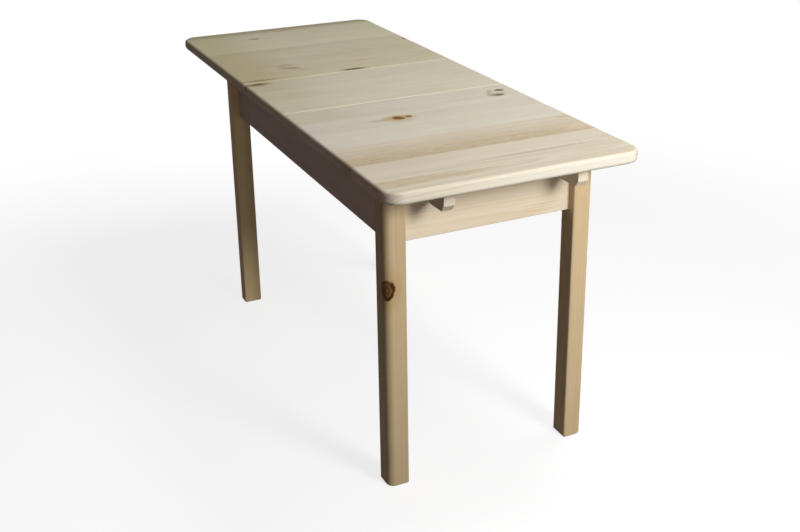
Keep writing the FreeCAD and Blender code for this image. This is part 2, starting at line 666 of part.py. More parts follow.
def leaf():
    """The loose leaf: three boards on two cleats that drop between the inner guides."""
    screws, rooms = [], {}
    length = "(Sizes.cleat_height - Sizes.cleat_screw_seat + Sizes.screw_in_top)"
    line = f"({INNER_GUIDE_BACK} - Sizes.cleat_play - Sizes.cleat_width / 2)"
    starts = []
    for i, name in enumerate(LEAF_BOARDS):
        after = total(*LEAF_BOARDS[:i + 1])
        starts.append(f"({LEAF_HALF} - {after})")
        for side in (RIGHT, LEFT):
            screw_name = f"leaf_screw_{SIDE_NAMES[side]}_{i + 1}"
            seat = [f"{starts[i]} + Sizes.{name} / 2", f"{side} * {line}",
                    f"{LEAF_BOTTOM} - Sizes.cleat_height + Sizes.cleat_screw_seat"]
            screws.append(screw(screw_name, seat, (0, 0, 1), length))
            room = screw_room(screw_name, seat, (0, 0, 1), length, "Sizes.cleat_screw_seat")
            rooms.setdefault(side, []).extend(room)
            rooms.setdefault((i, "board"), []).append(room[0])
    finish(group("leaf_cleat_screws", screws), "leaf_cleat_screws")
    thickness = "Sizes.top_thickness - Sizes.leaf_seat_clearance"
    for i, name in enumerate(LEAF_BOARDS):
        seams = (("outer",), (), ("inner",))[i]
        body = board(f"leaf_board_{i + 1}", name, thickness, seams=seams)
        place(body, starts[i], "0", LEAF_BOTTOM, turned(0))
        finish(less(body.Name + "_drilled", body, rooms[i, "board"]), f"leaf_board_{i + 1}")
    for side in (RIGHT, LEFT):
        name = f"leaf_cleat_{SIDE_NAMES[side]}"
        blank = block(name + "_blank", f"2 * ({LEAF_HALF} - Sizes.cleat_end_room)", "Sizes.cleat_width",
                      "Sizes.cleat_height", f"-({LEAF_HALF} - Sizes.cleat_end_room)",
                      f"{side} * {line} - Sizes.cleat_width / 2", f"{LEAF_BOTTOM} - Sizes.cleat_height")
        finish(less(name + "_drilled", blank, rooms[side]), name)


leaf()
doc.recompute()

# Nothing is written unless every object is sound
for item in doc.Objects:
    faults = [state for state in item.State if state in ("Invalid", "Error")]
    if faults:
        raise RuntimeError(f"{item.Label} is {faults}")
for item in parts:
    if item.Shape.isNull() or not item.Shape.isValid() or not item.Shape.Solids:
        raise RuntimeError(f"{item.Label} has no sound solid")

os.makedirs("parts", exist_ok=True)
for item in parts:
    item.Shape.exportStep(f"parts/{item.Label}.step")
    box = item.Shape.optimalBoundingBox()
    print(f"{item.Label:28s} solids {len(item.Shape.Solids):2d} volume {item.Shape.Volume / 1000:9.1f} cm3  "
          f"X {box.XMin:.1f} to {box.XMax:.1f}  Y {box.YMin:.1f} to {box.YMax:.1f}  "
          f"Z {box.ZMin:.1f} to {box.ZMax:.1f}")
print(len(parts), "sub-parts written")
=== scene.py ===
# %% [markdown]
# # An extending pine table
# The table arrives as a fixed frame: every board, leg and rail is a mesh at its real place, in metres, and
# so is every set of screws, bolts or dowels. Nothing in this lesson moves those pieces. It gives the wood
# the finish that the real table shows, and makes the screws, bolts and dowels again with more detail than
# a drawing carries.

# %% Load the frame
import math
import random

import bmesh
import bpy
import numpy
from mathutils import Euler, Matrix, Vector


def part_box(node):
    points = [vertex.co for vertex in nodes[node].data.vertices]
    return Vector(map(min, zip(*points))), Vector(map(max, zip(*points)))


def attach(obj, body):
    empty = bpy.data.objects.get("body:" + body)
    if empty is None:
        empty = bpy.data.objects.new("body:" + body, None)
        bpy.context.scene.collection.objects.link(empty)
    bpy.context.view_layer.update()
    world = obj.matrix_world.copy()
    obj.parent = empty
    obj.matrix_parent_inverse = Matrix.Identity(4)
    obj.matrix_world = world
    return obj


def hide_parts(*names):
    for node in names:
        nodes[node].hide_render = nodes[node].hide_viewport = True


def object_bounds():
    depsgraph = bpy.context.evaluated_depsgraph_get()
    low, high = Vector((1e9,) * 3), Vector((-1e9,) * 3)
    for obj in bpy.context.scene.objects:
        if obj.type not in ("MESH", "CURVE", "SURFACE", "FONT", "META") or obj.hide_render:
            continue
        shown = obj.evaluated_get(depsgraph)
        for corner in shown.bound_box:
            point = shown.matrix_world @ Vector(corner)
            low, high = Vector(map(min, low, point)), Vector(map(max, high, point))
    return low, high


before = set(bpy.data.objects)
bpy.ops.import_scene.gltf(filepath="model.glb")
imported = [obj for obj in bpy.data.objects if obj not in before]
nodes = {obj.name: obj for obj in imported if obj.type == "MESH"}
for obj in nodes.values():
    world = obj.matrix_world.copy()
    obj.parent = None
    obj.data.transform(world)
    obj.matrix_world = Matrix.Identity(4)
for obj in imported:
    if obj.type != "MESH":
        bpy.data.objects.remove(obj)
drawn_low, drawn_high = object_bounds()
print("frame:", len(nodes), "pieces, size", [round(x, 4) for x in drawn_high - drawn_low])

# %% [markdown]
# ## The camera
# A render can be laid beside a photograph only if both look from the same point. The place and the angles
# below put the corners of the top and the feet of the legs where the photograph has them. The photograph
# is a crop whose optical centre lies above its middle, so the lens is shifted a little instead of tilted:
# that keeps the legs leaning as they do in the picture.

# %% Camera
PHOTO_WIDTH = 800
PHOTO_HEIGHT = 532
OPTICAL_CENTRE = Vector((410.6, 200.0))
CAMERA_PLACE = Vector((2.5980, -1.1186, 1.5190))
CAMERA_YAW = math.radians(154.816)
CAMERA_PITCH = math.radians(-21.067)
CAMERA_ROLL = math.radians(-0.661)
LENS = 51.15


def into_scene(name, data):
    """A new object at the origin, linked into the scene."""
    made = bpy.data.objects.new(name, data)
    bpy.context.scene.collection.objects.link(made)
    return made


def look(yaw, pitch, roll):
    """The camera's axes as a matrix, from the way it looks and how far it leans."""
    forward = Vector((math.cos(pitch) * math.cos(yaw), math.cos(pitch) * math.sin(yaw), math.sin(pitch)))
    right = forward.cross(Vector((0, 0, 1))).normalized()
    up = right.cross(forward)
    level = Matrix((right, up, -forward)).transposed()
    return level @ Matrix.Rotation(roll, 3, "Z")


lens = bpy.data.cameras.new("camera")
lens.lens = LENS
lens.shift_x = (PHOTO_WIDTH / 2 - OPTICAL_CENTRE.x) / PHOTO_WIDTH
lens.shift_y = (OPTICAL_CENTRE.y - PHOTO_HEIGHT / 2) / PHOTO_WIDTH
camera = into_scene("camera", lens)
axes = look(CAMERA_YAW, CAMERA_PITCH, CAMERA_ROLL)
camera.matrix_world = Matrix.Translation(CAMERA_PLACE) @ axes.to_4x4()
bpy.context.scene.camera = camera
print("camera: lens", lens.lens, "mm, shift", round(lens.shift_x, 4), round(lens.shift_y, 4))

# %% [markdown]
# ## Short words for nodes
# A node tree can be clicked together by hand or built in a script. Built in a script it can be read, and
# the same tree can serve every board with other numbers. The class below shortens what every tree needs:
# adding a node, joining a socket to a value or to another socket, sums, soft steps and vectors.


# %% Helper for node trees
class Graph:
    """A node tree with short words for sums, steps and vectors."""

    def __init__(self, tree):
        self.tree = tree

    def node(self, kind, inputs=(), **settings):
        made = self.tree.nodes.new(kind)
        for key, value in settings.items():
            setattr(made, key, value)
        for key, value in dict(inputs).items():
            self.put(made.inputs[key], value)
        return made

    def put(self, socket, value):
        if isinstance(value, bpy.types.NodeSocket):
            self.tree.links.new(value, socket)
        else:
            socket.default_value = value

    def math(self, operation, *values):
        return self.node("ShaderNodeMath", enumerate(values), operation=operation).outputs[0]

    def plus(self, first, second):
        return self.math("ADD", first, second)

    def less(self, first, second):
        return self.math("SUBTRACT", first, second)

    def over(self, first, second):
        return self.math("DIVIDE", first, second)

    def times(self, first, *others):
        for other in others:
            first = self.math("MULTIPLY", first, other)
        return first

    def times_plus(self, value, factor, more):
        return self.math("MULTIPLY_ADD", value, factor, more)

    def step(self, value, low, high, at_low=0.0, at_high=1.0):
        """A soft step: at_low below low, at_high above high, smooth between."""
        inputs = {"Value": value, "From Min": low, "From Max": high, "To Min": at_low, "To Max": at_high}
        return self.node("ShaderNodeMapRange", inputs, interpolation_type="SMOOTHSTEP").outputs[0]

    def fall(self, value, low, high):
        """A soft step down, from 1 below low to 0 above high."""
        return self.step(value, low, high, 1.0, 0.0)

    def vector(self, operation, *values):
        made = self.node("ShaderNodeVectorMath", enumerate(values), operation=operation)
        return made.outputs["Value" if operation in ("LENGTH", "DOT_PRODUCT") else "Vector"]

    def xyz(self, x=0.0, y=0.0, z=0.0):
        return self.node("ShaderNodeCombineXYZ", {0: x, 1: y, 2: z}).outputs[0]

    def split(self, vector):
        return self.node("ShaderNodeSeparateXYZ", {0: vector}).outputs

    def from_axis(self, where):
        """The distance from the Z axis."""
        return self.vector("LENGTH", self.vector("MULTIPLY", where, (1, 1, 0)))

    def takes(self, kinds):
        """Named inputs of a group, as sockets to join."""
        for name, kind in kinds.items():
            self.tree.interface.new_socket(name, in_out="INPUT", socket_type="NodeSocket" + kind)
        return self.node("NodeGroupInput").outputs

    def gives(self, sockets):
        """Named outputs of a group. Returns the tree, ready for use."""
        for name, socket in sockets.items():
            kind = {"RGBA": "Color", "GEOMETRY": "Geometry"}.get(socket.type, "Float")
            self.tree.interface.new_socket(name, in_out="OUTPUT", socket_type="NodeSocket" + kind)
        self.node("NodeGroupOutput", sockets)
        return self.tree


print("helper for node trees is ready")

# %% [markdown]
# ## Words for finishes
# A finish needs words of its own: noise, which is where all unevenness comes from, mixing and shading of
# colours, and at the end a surface. Wood is stretched along its grain, so one word draws a noise out along
# the Z axis. Colours are written as they are picked from a screen and turned into the linear light that a
# shader works in.


# %% Helper for finishes
class Finish(Graph):
    """A shader tree with short words for textures, colours and surfaces."""

    def jitter(self, value, noise, amount):
        """The value, moved up and down by a noise that runs from 0 to 1."""
        return self.times_plus(self.less(noise, 0.5), amount, value)

    def spread(self, value, low, high):
        """A value from 0 to 1 as one from low to high."""
        return self.node("ShaderNodeMapRange", {"Value": value, "To Min": low, "To Max": high}).outputs[0]

    def here(self):
        return self.node("ShaderNodeTexCoord").outputs["Object"]

    def noise(self, where, scale, seed, detail=2.0, output=0):
        inputs = {"Vector": where, "W": seed, "Scale": scale, "Detail": detail}
        return self.node("ShaderNodeTexNoise", inputs, noise_dimensions="4D").outputs[output]

    def grain(self, where, texture, seed, detail=2.0, output=0):
        """A noise drawn out along the Z axis, as wood is along its grain."""
        scale, share = texture
        return self.noise(self.vector("MULTIPLY", where, (1, 1, share)), scale, seed, detail, output)

    def line_noise(self, along):
        inputs = {"W": along, "Scale": 1.0, "Detail": 2.0}
        return self.node("ShaderNodeTexNoise", inputs, noise_dimensions="1D").outputs[0]

    def mix(self, share, first, second, blend="MIX"):
        inputs = {0: share, 6: first, 7: second}
        return self.node("ShaderNodeMix", inputs, data_type="RGBA", blend_type=blend).outputs[2]

    def shade(self, colour, level):
        """The colour times a level, where 1 leaves it as it is."""
        grey = self.node("ShaderNodeCombineColor", {0: level, 1: level, 2: level}).outputs[0]
        return self.mix(1.0, colour, grey, "MULTIPLY")

    def ramp(self, share, stops):
        made = self.node("ShaderNodeValToRGB", {0: share})
        points = made.color_ramp.elements
        while len(points) < len(stops):
            points.new(0.5)
        for point, (place, level) in zip(points, stops):
            point.position = place
            point.color = (level, level, level, 1)
        return made.outputs[0]

    def mix_shader(self, share, first, second):
        return self.node("ShaderNodeMixShader", {0: share, 1: first, 2: second}).outputs[0]

    def surface(self, relief, height, inputs):
        """The end of a material: a Principled surface with a fine relief."""
        bump = self.node("ShaderNodeBump", {**relief, "Height": height}).outputs[0]
        shader = self.node("ShaderNodeBsdfPrincipled", {**inputs, "Normal": bump}).outputs[0]
        self.node("ShaderNodeOutputMaterial", {"Surface": shader})

    def group(self, tree, inputs):
        return self.node("ShaderNodeGroup", inputs, node_tree=tree).outputs


def new_group(name):
    return Finish(bpy.data.node_groups.new(name, "ShaderNodeTree"))


def new_material(name):
    material = bpy.data.materials.new(name)
    material.use_nodes = True
    material.node_tree.nodes.clear()
    return material, Finish(material.node_tree)


def paint(red, green, blue):
    """A colour as it is picked from a screen, 0 to 255, as the linear value that a shader works in."""
    parts = [x / 255 for x in (red, green, blue)]
    return [x / 12.92 if x < 0.04045 else ((x + 0.055) / 1.055) ** 2.4 for x in parts] + [1.0]


print("helper for finishes is ready")

# %% [markdown]
# ## Growth rings
# Pine is recognised by its rings: pale wood grown in spring and a thin dark line grown in summer. A flat
# stripe texture would break at every edge. A board is a piece cut out of a trunk, so the rings here are
# real cylinders round the trunk's pith, and whatever face the saw laid open shows its part of them:
# lines on a side, arches on a wide face, arcs on an end. The input vector has the pith on its Z axis.
# Each texture below is a noise, given by its scale across the trunk and the share of it along the trunk.

# %% Group: growth rings
DRIFT = (6.0, 0.30)
SHIVER = (170.0, 0.06)
STREAK = (110.0, 0.04)
FIBRE = (900.0, 0.04)
CLOUD = (16.0, 0.4)
DASH = (260.0, 0.16)
SHIVER_DEPTH = 0.0018
UNEVEN_SCALE = 40.0
UNEVEN_YEARS = 1.8
BAND_SCALE = 30.0
BAND_SEED = 3.1
WEAK_YEAR = 0.3
SUMMER_LINE = ((0.0, 0.0), (0.45, 0.12), (0.82, 0.62), (0.93, 1.0), (1.0, 0.0))
HEART_RAGGED = 0.016
HEART_DASHES = (0.36, 0.60, 0.5, 1.0)
HEART_LINES = 0.86
CLOUD_EDGE = (0.45, 0.75)
CLOUD_TINT = 0.22


def growth_rings():
    g = new_group("growth_rings")
    take = g.takes({
        "Vector": "Vector", "Seed": "Float", "Ring Width": "Float", "Taper": "Float", "Wander": "Float",
        "Bulge": "Float", "Heart Radius": "Float", "Heart Fade": "Float",
        "Spring": "Color", "Summer": "Color", "Heart": "Color", "Contrast": "Float",
    })
    trunk, seed = take["Vector"], take["Seed"]
    drift = g.vector("SUBTRACT", g.grain(trunk, DRIFT, seed, output=1), (0.5, 0.5, 0.5))
    drift = g.vector("MULTIPLY", drift, take["Wander"])
    taper = g.times(g.split(trunk)["Z"], take["Taper"])
    radius = g.plus(g.plus(g.from_axis(g.vector("ADD", trunk, drift)), taper), take["Bulge"])

    shivered = g.jitter(radius, g.grain(trunk, SHIVER, seed), SHIVER_DEPTH)
    uneven = g.line_noise(g.plus(g.times(radius, UNEVEN_SCALE), seed))
    turns = g.times_plus(uneven, UNEVEN_YEARS, g.over(shivered, take["Ring Width"]))
    year = g.plus(g.math("FLOOR", turns), seed)
    vigour = g.node("ShaderNodeTexWhiteNoise", {"W": year}, noise_dimensions="1D").outputs["Value"]
    summer = g.times(g.ramp(g.math("FRACT", turns), SUMMER_LINE), g.spread(vigour, WEAK_YEAR, 1.0))

    band = g.line_noise(g.plus(g.times(radius, BAND_SCALE), g.times(seed, BAND_SEED)))
    streak = g.grain(trunk, STREAK, seed, detail=3.0)
    fibre = g.grain(trunk, FIBRE, seed, detail=1.0)
    cloud = g.grain(trunk, CLOUD, seed, detail=3.0)
    dash = g.grain(trunk, DASH, seed)

    ragged = g.jitter(radius, streak, HEART_RAGGED)
    heart_edge = g.plus(take["Heart Radius"], take["Heart Fade"])
    heart = g.times(g.fall(ragged, take["Heart Radius"], heart_edge), g.step(dash, *HEART_DASHES))
    line = g.times(summer, take["Contrast"])
    colour = g.mix(line, take["Spring"], take["Summer"])
    colour = g.mix(heart, colour, g.shade(take["Heart"], g.spread(line, 1.0, HEART_LINES)))
    colour = g.mix(g.times(g.step(cloud, *CLOUD_EDGE), CLOUD_TINT), colour, take["Heart"])
    for texture, darkest, palest in ((band, 0.965, 1.035), (streak, 0.91, 1.09), (fibre, 0.955, 1.045)):
        colour = g.shade(colour, g.spread(texture, darkest, palest))
    return g.gives({"Color": colour, "Summer": summer, "Fibre": fibre})


RINGS = growth_rings()
print("growth rings:", len(RINGS.nodes), "nodes")

# %% [markdown]
# ## Knots
# A knot is the root of a branch. It starts at the pith and grows outwards as a thin cone, so the same knot
# shows on both faces of a board, larger on the face that lay further out. The group finds how far a point
# is from the cone's axis, counted in knot radii. Inside one radius is the knot with rings of its own, at
# one radius a rim of dark bark, thicker on one side, and outside it resin stains the wood and the growth
# rings bend aside. The pairs below are distances in knot radii over which one thing fades into the next,
# apart from the bark's side, which is a cosine.

# %% Group: knot
KNOT_LENGTH = 1.45
KNOT_RIPPLES = 14.0
LEAST_KNOT = 0.0008
KNOT_NOISE = 90.0
KNOT_RAGGED = 0.55
CORE_EDGE = (0.84, 1.08)
RIM_BEGIN = (0.62, 0.86)
RIM_END = (1.0, 1.16)
BARK_SIDE = (-0.4, 0.6)
RESIN_EDGE = (0.8, 3.2)
BEND_EDGE = (0.4, 3.4)
BEND = 0.9


def branch_knot():
    g = new_group("branch_knot")
    take = g.takes({"Vector": "Vector", "Angle": "Float", "Height": "Float", "Spread": "Float",
                    "Climb": "Float", "Bark": "Float", "Seed": "Float"})
    turn = {"Vector": take["Vector"], "Angle": g.times(take["Angle"], -1.0)}
    turned = g.node("ShaderNodeVectorRotate", turn, rotation_type="Z_AXIS").outputs[0]
    outward, sideways, along = g.split(turned)
    reach = g.math("MAXIMUM", g.times(outward, take["Spread"]), LEAST_KNOT)
    middle = g.times_plus(outward, take["Climb"], take["Height"])
    rise = g.over(g.less(along, middle), g.times(reach, KNOT_LENGTH))
    side = g.over(sideways, reach)
    plain = g.math("SQRT", g.plus(g.times(rise, rise), g.times(side, side)))
    away = g.jitter(plain, g.noise(take["Vector"], KNOT_NOISE, take["Seed"]), KNOT_RAGGED)

    upward = g.times(rise, g.math("SINE", take["Bark"]))
    facing = g.times_plus(side, g.math("COSINE", take["Bark"]), upward)
    bark = g.step(g.over(facing, plain), *BARK_SIDE)
    return g.gives({
        "Core": g.fall(away, *CORE_EDGE),
        "Rim": g.times(g.step(away, *RIM_BEGIN), g.fall(away, *RIM_END), bark),
        "Stain": g.fall(away, *RESIN_EDGE),
        "Ripple": g.times_plus(g.math("SINE", g.times(away, KNOT_RIPPLES)), 0.5, 0.5),
        "Bulge": g.times(g.fall(plain, *BEND_EDGE), g.times(reach, BEND)),
    })


KNOT = branch_knot()
print("knot:", len(KNOT.nodes), "nodes")

# %% [markdown]
# ## Stains, and sanded edges with a painted highlight
# Resin streaks and blushes of colour have no sharp form: each is an ellipsoid with a ragged, soft edge,
# long in the direction of the grain. Sanding rounds an edge over and leaves it a little paler than the
# face, and the edge is made paler still as a painted highlight, the light that a rounded edge catches. On a
# piece that is nearly a box, a point is on an edge when it is close to two faces at once, so the second
# smallest of its three distances to the faces tells how near the edge is.

# %% Groups: stain and sanded edge with a painted highlight
STAIN_NOISE = 120.0
STAIN_EDGE = (0.25, 1.0)
SANDING_NOISE = 60.0
SANDING_UNEVEN = (0.3, 1.7)


def resin_stain():
    g = new_group("resin_stain")
    take = g.takes({"Color": "Color", "Vector": "Vector", "Centre": "Vector", "Reach": "Vector",
                    "Tint": "Color", "Strength": "Float", "Ragged": "Float", "Seed": "Float"})
    away = g.vector("DIVIDE", g.vector("SUBTRACT", take["Vector"], take["Centre"]), take["Reach"])
    noise = g.noise(take["Vector"], STAIN_NOISE, take["Seed"], detail=3.0)
    distance = g.jitter(g.vector("LENGTH", away), noise, take["Ragged"])
    share = g.times(g.fall(distance, *STAIN_EDGE), take["Strength"])
    return g.gives({"Color": g.mix(share, take["Color"], take["Tint"])})


# The mask of a piece's edges, which are made paler: sanded wood, and a painted highlight where a rounded
# edge catches the light.
def sanded_edge_highlight():
    g = new_group("sanded_edge_highlight")
    take = g.takes({"Vector": "Vector", "Centre": "Vector", "Half": "Vector",
                    "Width": "Float", "Seed": "Float"})
    offset = g.vector("ABSOLUTE", g.vector("SUBTRACT", take["Vector"], take["Centre"]))
    x, y, z = g.split(g.vector("SUBTRACT", take["Half"], offset))
    lesser = g.math("MINIMUM", x, y)
    greater = g.math("MAXIMUM", x, y)
    second = g.math("MINIMUM", greater, g.math("MAXIMUM", lesser, z))
    noise = g.noise(take["Vector"], SANDING_NOISE, take["Seed"], detail=3.0)
    width = g.times(take["Width"], g.spread(noise, *SANDING_UNEVEN))
    return g.gives({"Edge": g.fall(second, 0.0, width)})


STAIN = resin_stain()
EDGE = sanded_edge_highlight()
print("stain and sanded edge:", len(STAIN.nodes) + len(EDGE.nodes), "nodes")

# %% [markdown]
# ## A piece of pine
# One function turns the groups into the finish of one piece. It needs the piece's box in the frame, the
# way its grain runs, where the pith of its trunk lay, and the knots and stains that show on it. A Mapping
# node turns the object's coordinates so that the trunk stands on the pith. A face that looks along the
# grain is cut across the fibres, so it has a level and a tint of its own, which are also set so that the
# shaded left ends of the top read lighter and warmer: painted light. The round under an edge is darkened
# as painted shade, and it has no sheen: seen at a low angle it would mirror the white background as a
# bright line.

# %% Pine
GRAIN_TURN = {
    "X": Euler((0, -math.pi / 2, 0)),
    "Y": Euler((math.pi / 2, 0, 0)),
    "Z": Euler((0, 0, 0)),
}
GRAIN_AXIS = {"X": (1, 0, 0), "Y": (0, 1, 0), "Z": (0, 0, 1)}
WANDER = 0.012
KNOT_PALE = paint(136, 100, 60)
KNOT_DARK = paint(106, 72, 38)
KNOT_RIM = paint(66, 40, 14)
KNOT_RESIN = paint(200, 168, 118)
RESIN_SHARE = 0.75
RIM_SHARE = 0.95
# The pale colour that edges are mixed towards: sanded wood, and a painted highlight.
RAW_PINE_HIGHLIGHT = paint(232, 226, 212)
SANDING_AND_HIGHLIGHT = 0.15
PALE_EDGE_WIDTH = 0.004
END_FACING = (0.70, 0.98)
# The level of faces that look along the grain; above 1 it also lifts the shaded left ends of the top, which
# is painted light.
END_GRAIN = 1.06
PLAIN = (1, 1, 1, 1)
ROUND_BELOW = (0.05, 0.5)
FLAT_BELOW = (0.93, 0.99)
PINE_ROUGH = (0.62, 0.50)
PINE_RELIEF = {"Strength": 0.16, "Distance": 0.0006}
SUMMER_RELIEF = 0.35
WOOD_SHEEN = 0.03


def cover(piece, material):
    slots = nodes[piece].data.materials
    slots.clear()
    slots.append(material)


def knot_inputs(spot, pith, grain, seed):
    """A knot's cone, from the point where it shows and the radius it has there."""
    place, radius, climb, bark = spot
    local = GRAIN_TURN[grain].to_matrix() @ (Vector(place) - pith)
    out = math.hypot(local.x, local.y)
    angle = math.atan2(local.y, local.x)
    cone = {"Angle": angle, "Height": local.z - climb * out, "Spread": radius / out, "Climb": climb}
    return {**cone, "Bark": bark, "Seed": seed}


def marked(g, colour, here, seed, stains, cones):
    """The colour with the piece's stains, and its knots over them."""
    for centre, reach, tint, strength, ragged in stains:
        mark = {"Color": colour, "Vector": here, "Centre": centre, "Reach": reach, "Tint": tint}
        colour = g.group(STAIN, {**mark, "Strength": strength, "Ragged": ragged, "Seed": seed})["Color"]
    for cone in cones:
        colour = g.mix(g.times(cone["Stain"], RESIN_SHARE), colour, KNOT_RESIN)
        colour = g.mix(cone["Core"], colour, g.mix(cone["Ripple"], KNOT_DARK, KNOT_PALE))
        colour = g.mix(g.times(cone["Rim"], RIM_SHARE), colour, KNOT_RIM)
    return colour


def pine(piece, wood, grain, pith, seed, ring=0.0034, taper=0.012, contrast=0.6, heart=(-1.0, 0.01),
         knots=(), stains=(), level=1.0, end_level=END_GRAIN, end_tint=PLAIN, under_edge_shade=1.0):
    """Covers a piece with pine: the trunk, then its marks, then what sawing and sanding did, with a painted
    highlight on its edges and painted shade under them.
    """
    material, g = new_material("pine_" + piece)
    here = g.here()
    turn = GRAIN_TURN[grain]
    move = {"Vector": here, "Location": -(turn.to_matrix() @ pith), "Rotation": turn}
    trunk = g.node("ShaderNodeMapping", move).outputs[0]
    cones = [g.group(KNOT, {"Vector": trunk, **knot_inputs(spot, pith, grain, seed)}) for spot in knots]
    bulge = 0.0
    for cone in cones:
        bulge = g.plus(cone["Bulge"], bulge)
    spring, summer, heartwood = wood
    rings = g.group(RINGS, {
        "Vector": trunk, "Seed": seed, "Ring Width": ring, "Taper": taper, "Wander": WANDER, "Bulge": bulge,
        "Heart Radius": heart[0], "Heart Fade": heart[1], "Contrast": contrast,
        "Spring": spring, "Summer": summer, "Heart": heartwood,
    })
    colour = marked(g, rings["Color"], here, seed, stains, cones)

    low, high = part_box(piece)
    box = {"Vector": here, "Centre": (low + high) / 2, "Half": (high - low) / 2}
    # Paler edges: sanding, plus a painted highlight where the edge catches the light.
    pale_edge = g.group(EDGE, {**box, "Width": PALE_EDGE_WIDTH, "Seed": seed})["Edge"]
    colour = g.mix(g.times(pale_edge, SANDING_AND_HIGHLIGHT), colour, RAW_PINE_HIGHLIGHT)
    normal = g.node("ShaderNodeNewGeometry").outputs["Normal"]
    end = g.step(g.math("ABSOLUTE", g.vector("DOT_PRODUCT", normal, GRAIN_AXIS[grain])), *END_FACING)
    colour = g.shade(colour, g.spread(end, level, level * end_level))
    colour = g.mix(end, colour, end_tint, "MULTIPLY")
    # Painted shade: the round under an edge is darkened, and its sheen is taken away.
    downward = g.times(g.split(normal)["Z"], -1.0)
    lower_round = g.times(g.step(downward, *ROUND_BELOW), g.fall(downward, *FLAT_BELOW))
    colour = g.shade(colour, g.spread(lower_round, 1.0, under_edge_shade))

    relief = g.times_plus(rings["Summer"], SUMMER_RELIEF, rings["Fibre"])
    g.surface(PINE_RELIEF, relief, {
        "Base Color": colour,
        "Roughness": g.spread(g.plus(rings["Fibre"], rings["Summer"]), *PINE_ROUGH),
        "Specular IOR Level": g.spread(lower_round, WOOD_SHEEN, 0.0),
    })
    cover(piece, material)


print("pine is ready to use")

# %% [markdown]
# ## The top
# The top is fourteen boards, glued edge to edge in three panels, with the grain across the table. No two
# come from the same trunk, so each gets its own pith, ring width and tone, drawn at random from a fixed
# seed. What the photograph shows plainly is written out and takes the place of a random value: a tan board
# of heartwood, a board whose face just touches the heart and shows arches, the knots, the streaks of resin
# and the yellower left ends. Marks on the top are given in millimetres.

# %% Colours of the top
CREAM_PINE = (paint(217, 209, 190), paint(194, 177, 144), paint(192, 174, 141))
ARCHED_PINE = (*CREAM_PINE[:2], paint(198, 183, 151))
PALE_PINE = (paint(217, 212, 195), paint(194, 180, 149), paint(198, 185, 157))
LEAF_PINE = (paint(218, 213, 192), paint(194, 180, 146), paint(198, 184, 154))
YELLOW_PINE = (paint(217, 210, 183), paint(191, 176, 133), paint(195, 180, 141))
GREEN_PINE = (paint(216, 213, 184), paint(191, 179, 136), paint(195, 183, 144))
PANEL_PINE = {"near": CREAM_PINE, "leaf": LEAF_PINE, "far": YELLOW_PINE}
FAR_EDGE_SHADE = paint(158, 148, 112)
BLUSH = paint(192, 162, 134)
PALE_BLUSH = paint(221, 204, 180)
UMBER = paint(74, 52, 22)
OLIVE = paint(130, 108, 60)
SAPWOOD_AND_HIGHLIGHT = paint(239, 234, 220)
STRAW = paint(186, 177, 130)
# The end-grain tint of the top, warmed to the colour of the shaded left ends: a painted shade colour.
END_SHADE_TINT = (1.0, 0.93, 0.86, 1)
# Painted shade on the round under the top's edges.
SHADE_UNDER_EDGE = 0.92
print("panels:", ", ".join(PANEL_PINE))

# %% Character of the top boards
MM = 0.001
TOP_FACE = drawn_high.z
STAIN_DEPTH = 30 * MM
WHOLE_TOP = 4000


def on_top(x, y):
    return Vector((x * MM, y * MM, TOP_FACE))


def top_knot(x, y, radius, climb=0.15, bark=0.0):
    return on_top(x, y), radius * MM, climb, bark


def top_stain(x, y, half_width, half_length, tint, strength, ragged=0.9):
    return on_top(x, y), Vector((half_width * MM, half_length * MM, STAIN_DEPTH)), tint, strength, ragged


def straw_end(strength):
    """The left ends of the boards are yellower, fading out along the grain."""
    return top_stain(0, -310, WHOLE_TOP, 230, STRAW, strength, 0.25)
